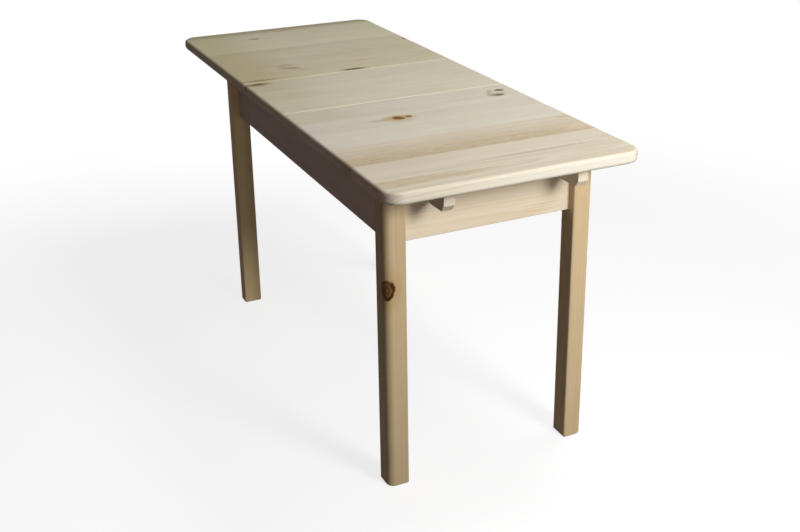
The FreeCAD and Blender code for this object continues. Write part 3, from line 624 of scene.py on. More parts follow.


# Pale wood on the near rim, also a painted highlight: strongest on the right, where the light falls, fading
# to the left.
RIM_MIDDLE = Vector((drawn_high.x + 3.1 * MM, drawn_high.y, TOP_FACE - 19 * MM))
RIM_PALE_WOOD_AND_HIGHLIGHT = (RIM_MIDDLE, Vector((0.012, 0.75, 0.040)), SAPWOOD_AND_HIGHLIGHT, 0.75, 0.1)
BOARD_CHARACTER = {
    "near_top_board_1": {
        "wood": PALE_PINE,
        "stains": [
            straw_end(0.25),
            top_stain(218, 240, 34, 42, OLIVE, 0.16),
            top_stain(199, 257, 11, 18, UMBER, 1.0),
            top_stain(236, 233, 15, 26, OLIVE, 0.9),
            top_stain(238, 240, 8, 14, UMBER, 0.5),
            top_stain(196, 231, 14, 9, OLIVE, 0.4),
            top_stain(213, 221, 15, 9, OLIVE, 0.4),
            top_stain(230, 213, 14, 9, OLIVE, 0.4),
        ],
    },
    "near_top_board_2": {
        "wood": PALE_PINE,
        "knots": [top_knot(301, -68, 10, bark=2.2), top_knot(299, -41, 5, bark=2.2)],
        "stains": [top_stain(302, -100, 16, 60, OLIVE, 0.22), top_stain(296, -74, 22, 44, OLIVE, 0.24)],
    },
    "near_top_board_3": {"wood": PALE_PINE, "level": 1.03},
    "near_top_board_4": {
        "pith": (0.600, -0.035), "heart": (0.045, 0.105), "contrast": 0.75, "ring": 0.0042,
        "stains": [top_stain(540, 285, 34, 90, PALE_BLUSH, 0.55), top_stain(468, 285, 8, 40, BLUSH, 0.5)],
    },
    "near_top_board_5": {"ring": 0.0030},
    "near_top_board_6": {
        "wood": ARCHED_PINE,
        "pith": (0.699, 0.030), "taper": 0.024, "heart": (0.0284, 0.0026), "contrast": 1.0, "ring": 0.0046,
        "stains": [top_stain(649, 110, 7, 195, OLIVE, 0.34, 1.2), RIM_PALE_WOOD_AND_HIGHLIGHT],
    },
    "leaf_board_1": {"stains": [straw_end(0.25)]},
    "leaf_board_2": {"stains": [straw_end(0.33)]},
    "leaf_board_3": {
        "stains": [
            straw_end(0.5),
            top_stain(-130, -268, 22, 50, OLIVE, 0.9),
            top_stain(-136, -262, 8, 24, UMBER, 0.3),
        ],
    },
    "far_top_board_1": {
        "level": 0.97,
        "stains": [
            straw_end(0.55),
            top_stain(-165, 17, 11, 52, UMBER, 0.95),
            top_stain(-166, -250, 11, 70, OLIVE, 0.6),
            top_stain(-248, -122, 14, 24, UMBER, 0.4),
            top_stain(-262, -140, 24, 45, BLUSH, 0.6),
            top_stain(-258, -140, 14, 34, OLIVE, 0.35),
        ],
    },
    "far_top_board_2": {
        "level": 0.98,
        "stains": [straw_end(0.55), top_stain(-285, -138, 26, 40, BLUSH, 0.55)],
    },
    "far_top_board_3": {"stains": [straw_end(0.55), top_stain(-428, 293, 9, 20, UMBER, 0.75)]},
    "far_top_board_4": {"wood": GREEN_PINE, "level": 1.11, "end_level": 0.88, "stains": [straw_end(0.45)]},
    "far_top_board_5": {
        "wood": GREEN_PINE, "level": 1.08, "end_level": 0.84,
        "stains": [
            straw_end(0.35),
            # Painted shade: the far edge of the top is darker and greyer.
            top_stain(-752, 0, 72, WHOLE_TOP, FAR_EDGE_SHADE, 0.75, 0.2),
            top_stain(-633, -110, 12, 24, OLIVE, 0.75),
            top_stain(-706, 4, 20, 42, BLUSH, 0.7),
        ],
    },
}
print("boards with something written out:", len(BOARD_CHARACTER))

# %% Dress the top boards
random_draw = random.Random(24)
between = random_draw.uniform


def wooden(word):
    """The pieces with a word in their name, without the screws and dowels that go with them."""
    return sorted(name for name in nodes if word in name and not name.endswith(("screws", "dowels")))


def drawn_seed():
    return between(0, 90)


def dress_top_board(piece):
    low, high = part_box(piece)
    middle = (low + high) / 2
    character = {
        "ring": between(0.0026, 0.0040),
        "contrast": between(0.35, 0.6),
        "level": between(0.985, 1.015),
    }
    aside = random_draw.choice((-1, 1)) * between(0.03, 0.09)
    below = -between(0.04, 0.12)
    character.update(BOARD_CHARACTER.get(piece, {}))
    across, depth = character.pop("pith", (middle.x + aside, below))
    pith = Vector((across, 0, TOP_FACE + depth))
    wood = character.pop("wood", PANEL_PINE[piece.split("_")[0]])
    pine(piece, wood, "Y", pith, drawn_seed(), end_tint=END_SHADE_TINT, under_edge_shade=SHADE_UNDER_EDGE, **character)


top_boards = wooden("board")
for name in top_boards:
    dress_top_board(name)
print("top:", len(top_boards), "boards")

# %% [markdown]
# ## Legs, aprons and the wood inside
# The legs are sawn from the outer wood of larger trunks and are warmer in colour than the top. The grain
# runs up a leg and along an apron, rail or runner. The nearer left leg has one large knot on its rounded
# corner and is made darker as painted shade. The far left leg is made lighter, most of all towards its near
# left corner, as painted light. The left apron is tinted a little redder than the right one, a painted
# shade colour, and fine lines of resin run along the nearer end apron. The wood inside has no such marks:
# its rings are drawn at random, which keeps the pieces from looking alike.

# %% Legs and aprons
LEG_PINE = (paint(213, 190, 151), paint(196, 166, 120), paint(200, 172, 130))
APRON_PINE = (paint(228, 213, 188), paint(212, 186, 146), paint(214, 190, 154))
# Painted shade colour: the apron wood tinted towards purple-red, for the left apron that lies in deep
# shade.
SHADE_TINTED_PINE = (paint(228, 208, 189), paint(212, 182, 147), paint(214, 186, 155))
# Painted light on the far left leg, strongest at its near left corner.
PAINTED_LIGHT_SIDE = paint(246, 222, 170)
RESIN_LINE = paint(214, 170, 118)
APRON_LEVEL = 0.90
FRAME_CONTRAST = 0.5


def dress(piece, wood, grain, aside, below, **more):
    """A piece whose pith lies aside and below its middle, as seen along the grain."""
    low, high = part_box(piece)
    offset = {"X": (0, aside, below), "Y": (aside, 0, below), "Z": (aside, below, 0)}[grain]
    pith = (low + high) / 2 + Vector(offset)
    pine(piece, wood, grain, pith, drawn_seed(), **more)


def on_corner(piece, inward, aside, height):
    """A point near the edge between a leg's near and left faces, in millimetres from them and the floor."""
    low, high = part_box(piece)
    return Vector((high.x - inward * MM, low.y + aside * MM, height * MM))


LEG_CHARACTER = {
    "leg_near_left": {
        # Painted shade: this leg is made darker.
        "level": 0.88,
        "knots": [(on_corner("leg_near_left", 5, 5, 487), 16 * MM, -0.15, -0.5)],
        "stains": [
            (on_corner("leg_near_left", 8, 3, 463), Vector((0.010, 0.006, 0.013)), UMBER, 0.8, 0.9),
        ],
    },
    "leg_far_left": {
        # Painted light: this leg is made lighter, and lighter still towards its near left corner.
        "level": 1.15,
        "stains": [
            (on_corner("leg_far_left", 10, 5, 300), Vector((0.045, 0.045, 4.0)), PAINTED_LIGHT_SIDE, 0.9, 0.1),
        ],
    },
}
APRON_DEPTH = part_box("end_apron_near")[1].x - 0.5 * MM
APRON_LINES = [
    (Vector((APRON_DEPTH, across * MM, height * MM)), Vector((0.02, 0.075, 0.0016)), RESIN_LINE, 0.55, 0.9)
    for across, height in ((135, 597), (120, 603), (140, 610))
]
for name in wooden("leg_"):
    dress(name, LEG_PINE, "Z", aside=between(-0.05, -0.03), below=between(0.03, 0.06), taper=0.008,
          ring=between(0.0034, 0.0050), contrast=FRAME_CONTRAST, **LEG_CHARACTER.get(name, {}))
for side, wood in (("left", SHADE_TINTED_PINE), ("right", APRON_PINE)):
    dress("long_apron_" + side, wood, "X", aside=0.05, below=between(-0.05, 0.05),
          contrast=FRAME_CONTRAST, level=APRON_LEVEL)
for end, lines in (("near", APRON_LINES), ("far", ())):
    dress("end_apron_" + end, APRON_PINE, "Y", aside=-0.045, below=-0.06,
          contrast=FRAME_CONTRAST, ring=0.0048, stains=lines)
print("frame:", len(wooden("leg_")), "legs and", len(wooden("apron_")), "aprons")

# %% Inner pine
INNER_PINE = (paint(226, 211, 186), paint(202, 174, 134), paint(205, 176, 138))
RUNNER_PINE = (paint(240, 230, 208), paint(218, 196, 160), paint(218, 200, 168))
INNER_GRAIN = {"guide_": "X", "cross_rail_": "Y", "leaf_cleat_": "X", "corner_block_": "Y"}
# The near left runner is made darker as painted shade, its nose less so.
RUNNER_LEVELS = {"near_runner_left": (0.68, 1.14), "near_runner_right": (0.97, 0.97)}
HIDDEN_RUNNER_LEVELS = (0.95, 0.97)


def drawn_pith():
    """How far the pith of an inner piece lies aside and below."""
    return between(-0.06, 0.06), -between(0.03, 0.07)


for word, grain in INNER_GRAIN.items():
    for name in wooden(word):
        dress(name, INNER_PINE, grain, *drawn_pith())
for name in wooden("_runner_"):
    level, end_level = RUNNER_LEVELS.get(name, HIDDEN_RUNNER_LEVELS)
    dress(name, RUNNER_PINE, "X", *drawn_pith(), level=level, end_level=end_level)
print("pieces of pine in all:", sum(material.name.startswith("pine_") for material in bpy.data.materials))

# %% [markdown]
# ## Beech and zinc
# The dowels and the tongues that the runners hang on are beech, harder than pine, with an even, pinkish
# colour, fine streaks and the short dark flecks that its rays leave. The screws, bolts, washers and nuts
# are steel with a thin coat of zinc: a grey metal, a little cloudy, never a mirror. Both are made from
# noise at the scale of the real thing. The dowels point in several directions, so their grain follows a
# place of their own, which a later cell stores on them as an attribute.

# %% Beech
BEECH = (paint(214, 180, 142), paint(192, 152, 114), paint(150, 108, 74))
BEECH_STREAK = (160.0, 0.04)
BEECH_FIBRE = (1100.0, 0.04)
BEECH_FLECK = (1500.0, 0.16)
STREAK_EDGE = (0.35, 0.70)
FLECK_EDGE = (0.62, 0.70)
BEECH_RELIEF = {"Strength": 0.2, "Distance": 0.0003}
FLECK_SHARE = 0.6


def beech(name, coordinates):
    """Beech whose grain runs along the third coordinate."""
    material, g = new_material(name)
    where = coordinates(g)
    pale, dark, fleck = BEECH
    streak = g.grain(where, BEECH_STREAK, seed=3.0, detail=3.0)
    fibre = g.grain(where, BEECH_FIBRE, seed=5.0, detail=1.0)
    dashes = g.grain(where, BEECH_FLECK, seed=7.0, detail=1.0)
    colour = g.mix(g.step(streak, *STREAK_EDGE), pale, dark)
    colour = g.mix(g.times(g.step(dashes, *FLECK_EDGE), FLECK_SHARE), colour, fleck)
    g.surface(BEECH_RELIEF, fibre, {
        "Base Color": g.shade(colour, g.spread(fibre, 0.94, 1.06)),
        "Roughness": g.spread(fibre, 0.66, 0.5),
        "Specular IOR Level": WOOD_SHEEN,
    })
    return material


def along_x(g):
    return g.node("ShaderNodeMapping", {"Vector": g.here(), "Rotation": GRAIN_TURN["X"]}).outputs[0]


def own_grain(g):
    """The place within one dowel, shifted by a number of its own."""
    place = g.node("ShaderNodeAttribute", attribute_name="own_place").outputs["Vector"]
    shift = g.node("ShaderNodeAttribute", attribute_name="own_number").outputs["Fac"]
    return g.vector("ADD", place, g.xyz(shift, shift, shift))


TONGUE_BEECH = beech("beech_tongue", along_x)
DOWEL_BEECH = beech("beech_dowel", own_grain)
tongues = wooden("tongue")
for name in tongues:
    cover(name, TONGUE_BEECH)
print("beech:", len(tongues), "tongues")

# %% Zinc
ZINC = (paint(196, 199, 203), paint(166, 168, 170), paint(176, 170, 156))
ZINC_CLOUD = 420.0
ZINC_FILM = 90.0
ZINC_GRIT = 5200.0
ZINC_RELIEF = {"Strength": 0.12, "Distance": 0.0001}
DULL_EDGE = (0.35, 0.68)
FILM_EDGE = (0.45, 0.75)
FILM_SHARE = 0.5
GRIT_ROUGH = 0.16


def zinc():
    material, g = new_material("zinc_plated_steel")
    here = g.here()
    bright, dull, yellowed = ZINC
    cloud = g.noise(here, ZINC_CLOUD, seed=2.0, detail=3.0)
    film = g.noise(here, ZINC_FILM, seed=4.0)
    grit = g.noise(here, ZINC_GRIT, seed=6.0, detail=1.0)
    colour = g.mix(g.step(cloud, *DULL_EDGE), bright, dull)
    colour = g.mix(g.times(g.step(film, *FILM_EDGE), FILM_SHARE), colour, yellowed)
    rough = g.times_plus(grit, GRIT_ROUGH, g.spread(cloud, 0.22, 0.46))
    g.surface(ZINC_RELIEF, grit, {"Base Color": colour, "Metallic": 1.0, "Roughness": rough})
    return material


ZINC_STEEL = zinc()
print("zinc:", len(ZINC_STEEL.node_tree.nodes), "nodes")

# %% [markdown]
# ## Where the fasteners sit
# The drawing has every screw, bolt, washer, nut and dowel as a plain solid, which tells where each one sits
# and which way it points, so nothing has to be placed by hand. A node's mesh is split into its loose parts,
# and the points of a part give its axis, its length and its radius. The axis is the direction in which the
# part is unlike the other two: the long way of a screw, the flat way of a washer. It points to the wider
# end, which is a screw's head, or else to the middle of the table.

# %% Read the drawn fasteners
SAME_POINT = 1e-5
SAME_WIDTH = 1e-4


def loose_parts(node):
    """The points of each separate solid in a node's mesh."""
    shape = bmesh.new()
    shape.from_mesh(nodes[node].data)
    bmesh.ops.remove_doubles(shape, verts=shape.verts, dist=SAME_POINT)
    seen = set()
    parts = []
    for start in shape.verts:
        if start in seen:
            continue
        seen.add(start)
        part = [start]
        for vert in part:
            fresh = [edge.other_vert(vert) for edge in vert.link_edges]
            fresh = [other for other in fresh if other not in seen]
            seen.update(fresh)
            part.extend(fresh)
        parts.append(numpy.array([vert.co for vert in part]))
    shape.free()
    return parts


def widest(points, along, limit):
    """The largest distance from the axis among the points at one end."""
    near_end = abs(along - limit) < SAME_WIDTH
    return numpy.linalg.norm(points[near_end], axis=1).max()


def seat(points):
    """The top of a part, the way it points, its length and its radius."""
    middle = points.mean(axis=0)
    spread = points - middle
    sizes, ways = numpy.linalg.eigh(numpy.cov(spread.T))
    axis = ways[:, 2] if sizes[2] - sizes[1] > sizes[1] - sizes[0] else ways[:, 0]
    along = spread @ axis
    across = spread - numpy.outer(along, axis)
    lean = widest(across, along, along.max()) - widest(across, along, along.min())
    if abs(lean) < SAME_WIDTH:
        lean = -middle[:2] @ axis[:2]
    axis = axis * (1 if lean > 0 else -1)
    along = spread @ axis
    radius = numpy.linalg.norm(across, axis=1).max()
    return middle + axis * along.max(), axis, along.max() - along.min(), radius


def seats_by_size(sources):
    """The seats of all parts of some nodes, sorted by length and radius to a tenth of a millimetre."""
    sorted_seats = {}
    for node in sources:
        for points in loose_parts(node):
            top, axis, length, radius = seat(points)
            size = (round(float(length), 4), round(float(radius), 4))
            sorted_seats.setdefault(size, []).append((top, axis))
    return sorted_seats


print("first screw:", seat(loose_parts("guide_screws")[0]))

# %% [markdown]
# ## Geometry Nodes for fasteners
# Each kind of fastener is a small tree of Geometry Nodes. It builds one example from a cylinder whose
# points are drawn in or out by a rule: a helix for a thread, a dome for a head, a wave for a dowel's sides.
# Then it sets a copy on every seat, turned to the seat's axis and spun by a random angle, because no two
# screws stop at the same turn. The copies are realized, since an instance would be lost in an export.


# %% Words for shapes
class Shape(Graph):
    """A Geometry Nodes tree with short words for turned shapes that stand on the Z axis."""

    def cylinder(self, radius, depth, around, along=1, rings=1):
        inputs = {"Vertices": around, "Side Segments": along, "Fill Segments": rings,
                  "Radius": radius, "Depth": depth}
        return self.node("GeometryNodeMeshCylinder", inputs).outputs["Mesh"]

    def hung(self, shape, depth):
        """The shape lowered by half its depth, so that its top comes to the origin."""
        offset = self.xyz(z=self.over(depth, -2.0))
        return self.node("GeometryNodeTransform", {"Geometry": shape, "Translation": offset}).outputs[0]

    def join(self, *shapes):
        made = self.node("GeometryNodeJoinGeometry")
        for shape in shapes:
            self.tree.links.new(shape, made.inputs[0])
        return made.outputs[0]

    def minus(self, shape, tool):
        inputs = {"Mesh 1": shape, "Mesh 2": tool, "Self Intersection": True}
        made = self.node("GeometryNodeMeshBoolean", inputs, operation="DIFFERENCE", solver="EXACT")
        return made.outputs[0]

    def common(self, shape, tool):
        made = self.node("GeometryNodeMeshBoolean", operation="INTERSECT", solver="EXACT")
        for mesh in (shape, tool):
            self.tree.links.new(mesh, made.inputs["Mesh 2"])
        return made.outputs[0]

    def position(self):
        return self.node("GeometryNodeInputPosition").outputs[0]

    def height(self):
        """Each point's height."""
        return self.split(self.position())["Z"]

    def turn(self):
        """Each point's angle about the axis, in turns."""
        x, y, z = self.split(self.position())
        return self.over(self.math("ARCTAN2", y, x), 2 * math.pi)

    def drawn(self, shape, share, drop=0.0):
        """The shape with its points at a share of their distance from the axis, and lower by a drop."""
        narrowed = self.vector("MULTIPLY", self.position(), self.xyz(share, share, 1.0))
        position = self.vector("SUBTRACT", narrowed, self.xyz(z=drop))
        return self.node("GeometryNodeSetPosition", {"Geometry": shape, "Position": position}).outputs[0]

    def thread(self, pitch, depth, bottom, top):
        """How deep a helix cuts in, as a share of the radius, between two heights."""
        z = self.height()
        phase = self.math("FRACT", self.plus(self.turn(), self.over(z, pitch)))
        valley = self.math("ABSOLUTE", self.times_plus(phase, 2.0, -1.0))
        begin = self.step(z, bottom, self.plus(bottom, pitch))
        end = self.fall(z, self.less(top, pitch), top)
        return self.times(valley, depth, begin, end)

    def set_on_seats(self, take, shape):
        """A copy of the shape on every seat, its top there, realized and painted."""
        named = self.node("GeometryNodeInputNamedAttribute", {"Name": "axis"}, data_type="FLOAT_VECTOR")
        aligned = self.node("FunctionNodeAlignRotationToVector", {"Vector": named.outputs[0]}, axis="Z")
        inputs = {2: 0.0, 3: 2 * math.pi, "Seed": take["Seed"]}
        chance = self.node("FunctionNodeRandomValue", inputs).outputs[1]
        inputs = {0: aligned.outputs[0], 1: self.xyz(z=chance)}
        spun = self.node("FunctionNodeRotateRotation", inputs, rotation_space="LOCAL").outputs[0]
        inputs = {"Points": take["Seats"], "Instance": shape, "Rotation": spun}
        copies = self.node("GeometryNodeInstanceOnPoints", inputs).outputs[0]
        inputs = {"Geometry": copies, "Name": "own_number", "Value": chance}
        copies = self.node("GeometryNodeStoreNamedAttribute", inputs, domain="INSTANCE").outputs[0]
        solid = self.node("GeometryNodeRealizeInstances", {"Geometry": copies}).outputs[0]
        inputs = {"Geometry": solid, "Material": take["Material"]}
        return self.gives({"Geometry": self.node("GeometryNodeSetMaterial", inputs).outputs[0]})


SEAT_INPUTS = {
    "Seats": "Geometry", "Length": "Float", "Radius": "Float", "Material": "Material", "Seed": "Int",
}


def new_shape(name, sizes):
    """A tree with the inputs that all fasteners share, and sizes of its own."""
    g = Shape(bpy.data.node_groups.new(name, "GeometryNodeTree"))
    kinds = {**SEAT_INPUTS, **{size: "Float" for size in sizes}}
    return g, g.takes(kinds)


print("words for shapes are ready")

# %% [markdown]
# ## Wood screw
# Wood screws hold the corner blocks, the guides, the runners and the cleats. The shank is a cylinder with
# six rings of points to each turn of the thread, enough for a helix to show, and it narrows to a point. The
# head is a low dome, and two crossed bars are cut out of it for the driver.

# %% Wood screw
RINGS_PER_TURN = 6.0
POINT_TURNS = 3.0
POINT_SHARE = 0.08
THREAD_TOP = -0.3
SHOULDER = (0.35, 1.15)
SHOULDER_DEPTH = 0.5
CROWN_DROP = 0.14
RECESS_LENGTH = 1.1
RECESS_WIDTH = 0.26


def wood_screw():
    g, take = new_shape("wood_screw", ["Head Height", "Shank Radius", "Pitch", "Thread Depth"])
    length, radius, height, pitch = take["Length"], take["Radius"], take["Head Height"], take["Pitch"]
    foot = g.times(length, -1.0)
    z = g.height()
    steps = g.over(length, g.over(pitch, RINGS_PER_TURN))
    shank = g.hung(g.cylinder(take["Shank Radius"], length, around=12, along=steps), length)
    point = g.step(z, foot, g.times_plus(pitch, POINT_TURNS, foot), POINT_SHARE, 1.0)
    bite = g.less(1.0, g.thread(pitch, take["Thread Depth"], foot, g.times(length, THREAD_TOP)))
    shank = g.drawn(shank, g.times(bite, point))

    head = g.hung(g.cylinder(radius, height, around=32, along=8, rings=4), height)
    rise = g.plus(g.over(z, height), 1.0)
    shoulder = g.step(rise, *SHOULDER)
    share = g.math("SQRT", g.times_plus(g.times(shoulder, shoulder), -SHOULDER_DEPTH, 1.0))
    edge = g.over(g.from_axis(g.position()), radius)
    crown = g.times(edge, edge, g.math("POWER", rise, 4.0))
    head = g.drawn(head, share, g.times(crown, height, CROWN_DROP))
    slot = g.times(radius, RECESS_LENGTH)
    blade = g.times(radius, RECESS_WIDTH)
    bars = (g.xyz(slot, blade, height), g.xyz(blade, slot, height))
    cross = g.join(*(g.node("GeometryNodeMeshCube", {"Size": bar}).outputs["Mesh"] for bar in bars))
    return g.set_on_seats(take, g.join(shank, g.minus(head, cross)))


SCREW = wood_screw()
print("wood screw:", len(SCREW.nodes), "nodes")

# %% [markdown]
# ## Hanger bolt, washer and nut
# A hanger bolt has no head: its coarse end is driven into the leg, and a nut on its fine end pulls the leg
# against the corner block. The two threads are the same helix with other sizes. The washer's edge is
# drawn in a little. The nut is a six-sided blank cut down by a double cone, as on a lathe.

# %% Hanger bolt, washer and nut
NUT_THREAD_FOOT = -0.42
WOOD_THREAD_TOP = -0.55
WOOD_THREAD_DEPTH = 1.6
BOLT_POINT = 0.45
BOLT_BEVEL = 0.88
WASHER_FACE = (0.2, 0.5)
WASHER_BEVEL = 0.965
NUT_FACE = 0.88


def hanger_bolt():
    g, take = new_shape("hanger_bolt", ["Nut Pitch", "Wood Pitch", "Thread Depth"])
    length, fine, coarse = take["Length"], take["Nut Pitch"], take["Wood Pitch"]
    depth = take["Thread Depth"]
    foot = g.times(length, -1.0)
    z = g.height()
    steps = g.over(length, g.over(fine, RINGS_PER_TURN))
    bolt = g.hung(g.cylinder(take["Radius"], length, around=16, along=steps), length)
    nut_end = g.thread(fine, depth, g.times(length, NUT_THREAD_FOOT), fine)
    wood_end = g.thread(coarse, g.times(depth, WOOD_THREAD_DEPTH), foot, g.times(length, WOOD_THREAD_TOP))
    point = g.step(z, foot, g.plus(foot, coarse), BOLT_POINT, 1.0)
    bevel = g.step(z, g.times(fine, -1.0), 0.0, 1.0, BOLT_BEVEL)
    bite = g.less(g.less(1.0, nut_end), wood_end)
    return g.set_on_seats(take, g.drawn(bolt, g.times(bite, point, bevel)))


def drilled(g, take, shape):
    """The shape with a bore right through it."""
    drill = g.cylinder(take["Bore Radius"], g.times(take["Length"], 3.0), around=40)
    return g.minus(shape, drill)


def washer():
    g, take = new_shape("washer", ["Bore Radius"])
    length = take["Length"]
    plate = g.cylinder(take["Radius"], length, around=56, along=6)
    from_middle = g.math("ABSOLUTE", g.over(g.height(), length))
    plate = g.drawn(plate, g.step(from_middle, *WASHER_FACE, 1.0, WASHER_BEVEL))
    return g.set_on_seats(take, g.hung(drilled(g, take, plate), length))


def hexagon_nut():
    g, take = new_shape("hexagon_nut", ["Bore Radius"])
    length, radius = take["Length"], take["Radius"]
    blank = g.cylinder(radius, length, around=6)
    spindle = g.cylinder(radius, length, around=60, along=2)
    inset = g.less(g.over(length, 2.0), g.math("ABSOLUTE", g.height()))
    cone = g.times_plus(g.over(inset, radius), math.sqrt(3), NUT_FACE)
    nut = g.common(blank, g.drawn(spindle, cone))
    return g.set_on_seats(take, g.hung(drilled(g, take, nut), length))


BOLT = hanger_bolt()
WASHER = washer()
NUT = hexagon_nut()
print("bolt, washer and nut:", len(BOLT.nodes) + len(WASHER.nodes) + len(NUT.nodes), "nodes")

# %% [markdown]
# ## Fluted dowel
# Dowels join the aprons to the legs and the cross rails to the aprons. Glue needs a way out of the hole, so
# a bought dowel has flutes along it and bevelled ends. A wave round the axis draws the flutes, and each
# point keeps its place within the dowel as an attribute, which turns the grain of the beech with it.

# %% Fluted dowel
DOWEL_END = 0.82


def fluted_dowel():
    g, take = new_shape("fluted_dowel", ["Flutes", "Flute Depth", "Bevel"])
    length = take["Length"]
    rod = g.cylinder(take["Radius"], length, around=96, along=24, rings=2)
    wave = g.math("COSINE", g.times(g.turn(), take["Flutes"], 2 * math.pi))
    flute = g.times(g.times_plus(wave, 0.5, 0.5), take["Flute Depth"])
    to_end = g.less(g.over(length, 2.0), g.math("ABSOLUTE", g.height()))
    bevel = g.step(to_end, 0.0, take["Bevel"], DOWEL_END, 1.0)
    rod = g.drawn(rod, g.times(g.less(1.0, flute), bevel))
    inputs = {"Geometry": rod, "Name": "own_place", "Value": g.position()}
    rod = g.node("GeometryNodeStoreNamedAttribute", inputs, data_type="FLOAT_VECTOR").outputs[0]
    return g.set_on_seats(take, g.hung(rod, length))


DOWEL = fluted_dowel()
print("dowel:", len(DOWEL.nodes), "nodes")

# %% [markdown]
# ## Fasteners on their seats
# One mesh for each body carries all its screws, another its bolts, and so on. The tree is evaluated once
# for every size that the drawing has, the result becomes a plain mesh, and the plain solids of the drawing
# are hidden, because the new pieces stand for them.


# %% Set the fasteners
def seat_mesh(name, seats):
    mesh = bpy.data.meshes.new(name)
    mesh.from_pydata([tuple(top) for top, axis in seats], [], [])
    axes = mesh.attributes.new("axis", "FLOAT_VECTOR", "POINT")
    axes.data.foreach_set("vector", numpy.concatenate([axis for top, axis in seats]))
    return mesh


def evaluated(piece, tree, values):
    """The tree's result on a piece, as a plain mesh."""
    modifier = piece.modifiers.new("make", "NODES")
    modifier.node_group = tree
    for item in tree.interface.items_tree:
        if item.in_out == "INPUT" and item.name in values:
            modifier[item.identifier] = values[item.name]
    bpy.context.view_layer.update()
    made = piece.evaluated_get(bpy.context.evaluated_depsgraph_get())
    mesh = bpy.data.meshes.new_from_object(made)
    piece.modifiers.clear()
    return mesh


def fasten(name, body, sources, tree, material, slot, seed, **sizes):
    """One piece with all the fasteners of some nodes, in place of those nodes."""
    piece = into_scene(name, bpy.data.meshes.new(name))
    whole = bmesh.new()
    for (length, radius), seats in sorted(seats_by_size(sources).items()):
        piece.data = seat_mesh(name, seats)
        values = {"Length": length, "Radius": radius, "Material": material, "Seed": seed, **sizes}
        whole.from_mesh(evaluated(piece, tree, values))
    finished = bpy.data.meshes.new(name)
    whole.to_mesh(finished)
    whole.free()
    finished.materials.append(material)
    piece.data = finished
    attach(piece, body)
    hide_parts(*sources)
    print(name, "triangles:", sum(len(face.vertices) - 2 for face in finished.polygons))


SCREW_SIZES = {"Head Height": 3 * MM, "Shank Radius": 2.25 * MM, "Pitch": 1.9 * MM, "Thread Depth": 0.30}
SCREWS = {
    "base": ["corner_block_screws", "guide_screws"],
    "near_half": ["near_runner_screws"],
    "far_half": ["far_runner_screws"],
    "leaf": ["leaf_cleat_screws"],
}
for seed, (body, sources) in enumerate(SCREWS.items()):
    fasten(body + "_screws", body, sources, SCREW, ZINC_STEEL, "zinc_steel", seed=seed, **SCREW_SIZES)
BOLT_SIZES = {"Nut Pitch": 1.25 * MM, "Wood Pitch": 3 * MM, "Thread Depth": 0.15}
BORE = {"Bore Radius": 4.2 * MM}
fasten("base_bolts", "base", ["hanger_bolts"], BOLT, ZINC_STEEL, "zinc_steel", seed=11, **BOLT_SIZES)
fasten("base_washers", "base", ["bolt_washers"], WASHER, ZINC_STEEL, "zinc_steel", seed=12, **BORE)
fasten("base_nuts", "base", ["bolt_nuts"], NUT, ZINC_STEEL, "zinc_steel", seed=13, **BORE)
DOWELS = ["apron_dowels", "cross_rail_dowels"]
DOWEL_SIZES = {"Flutes": 16.0, "Flute Depth": 0.05, "Bevel": 2 * MM}
fasten("base_dowels", "base", DOWELS, DOWEL, DOWEL_BEECH, "beech", seed=14, **DOWEL_SIZES)

# %% [markdown]
# ## Light and background
# The picture has one soft main light in front of the table and a little to the right, and a second one
# overhead, so the left side lies in deep shade. A third lamp, low behind the table, lights the faces that
# the photograph doesn't show. All three are plain white areas at a level where a colour renders about as it
# is written. The background is white where it is seen. Where it only gives light it is a dim fill, brighter
# on one side, as if from a window.

# %% Lamps and background
LAMPS = {
    "front": {"place": (2.35, 0.55, 1.50), "aim": (0.45, 0.0, 0.55), "size": 0.75, "power": 37.4},
    "overhead": {"place": (0.45, 0.75, 2.60), "aim": (0.1, 0.0, 0.75), "size": 0.7, "power": 22.4},
    "behind": {"place": (-2.30, 0.32, 0.30), "aim": (-0.2, 0.0, 0.60), "size": 1.0, "power": 14.0},
}
ROOM_FILL = (0.050, 0.027, 0.036, 1)
WINDOW_FILL = (0.26, 0.235, 0.20, 1)
WINDOW_SIDE = Vector((0.85, 0.51, 0.12))
WINDOW_EDGE = (0.05, 1.0)
WHITE = (1, 1, 1, 1)


def lamp(name, place, aim, size, power):
    light = bpy.data.lights.new(name, "AREA")
    light.shape = "DISK"
    light.size = size
    light.energy = power
    stand = into_scene(name, light)
    stand.location = place
    stand.rotation_euler = (Vector(aim) - Vector(place)).to_track_quat("-Z", "Y").to_euler()


def seen_directly(g):
    """1 for rays that show the background: from the camera, or by way of metal or glass."""
    path = g.node("ShaderNodeLightPath").outputs
    mirrored = g.math("MAXIMUM", path["Is Glossy Ray"], path["Is Transmission Ray"])
    return g.math("MAXIMUM", path["Is Camera Ray"], mirrored)


for name, values in LAMPS.items():
    lamp(name, **values)
world = bpy.data.worlds.new("studio")
bpy.context.scene.world = world
world.use_nodes = True
world.node_tree.nodes.clear()
g = Finish(world.node_tree)
way = g.node("ShaderNodeTexCoord").outputs["Generated"]
window = g.step(g.vector("DOT_PRODUCT", way, WINDOW_SIDE), *WINDOW_EDGE)
fill = g.node("ShaderNodeBackground", {"Color": g.mix(window, ROOM_FILL, WINDOW_FILL)}).outputs[0]
white = g.node("ShaderNodeBackground", {"Color": WHITE}).outputs[0]
g.node("ShaderNodeOutputWorld", {"Surface": g.mix_shader(seen_directly(g), fill, white)})
print("lamps:", ", ".join(LAMPS))

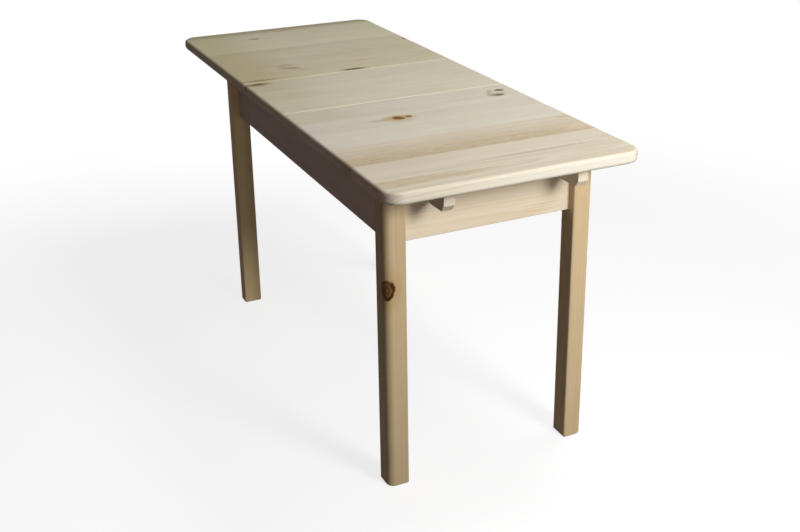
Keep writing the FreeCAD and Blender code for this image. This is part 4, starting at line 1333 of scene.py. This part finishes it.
# %% [markdown]
# ## Floor
# The floor is pale. What the camera sees of it is white with the table's soft shadow near the feet, while
# the light that it throws back is kept low by the Light Path node, because a bright floor would fill the
# shade that gives the picture its form. From below it is clear, so that the underside can be looked at.

# %% Floor
FLOOR_HALF = 9.0
FLOOR_DROP = 0.0003
FLOOR_BOUNCE = (0.09, 0.29)
BOUNCE_EDGE = (-0.5, 1.0)
SHADOW_FADE = (1.1, 2.3)
FLOOR_SHADED = (0.26, 0.26, 0.26, 1)
FLOOR_GLOW = (0.80, 0.80, 0.80, 1)

mesh = bpy.data.meshes.new("floor")
corners = [(x * FLOOR_HALF, y * FLOOR_HALF, -FLOOR_DROP) for x, y in ((-1, -1), (1, -1), (1, 1), (-1, 1))]
mesh.from_pydata(corners, [], [(0, 1, 2, 3)])
floor = into_scene("floor", mesh)

material, g = new_material("pale_floor")
here = g.here()
thrown_back = g.step(g.split(here)["X"], *BOUNCE_EDGE, *FLOOR_BOUNCE)
bounce = g.node("ShaderNodeBsdfDiffuse", {"Color": thrown_back}).outputs[0]
shaded = g.node("ShaderNodeBsdfDiffuse", {"Color": FLOOR_SHADED}).outputs[0]
glow = g.node("ShaderNodeEmission", {"Color": FLOOR_GLOW}).outputs[0]
white = g.node("ShaderNodeEmission", {"Color": WHITE}).outputs[0]
near = g.node("ShaderNodeAddShader", {0: shaded, 1: glow}).outputs[0]
seen = g.mix_shader(g.step(g.from_axis(here), *SHADOW_FADE), near, white)
lit = g.mix_shader(seen_directly(g), bounce, seen)
below = g.node("ShaderNodeNewGeometry").outputs["Backfacing"]
clear = g.node("ShaderNodeBsdfTransparent").outputs[0]
g.node("ShaderNodeOutputMaterial", {"Surface": g.mix_shader(below, lit, clear)})
mesh.materials.append(material)
print("floor:", 2 * FLOOR_HALF, "m square")

# %% [markdown]
# ## Close
# Colours are shown as they are, with the Standard view.

# %% View
bpy.context.scene.view_settings.view_transform = "Standard"
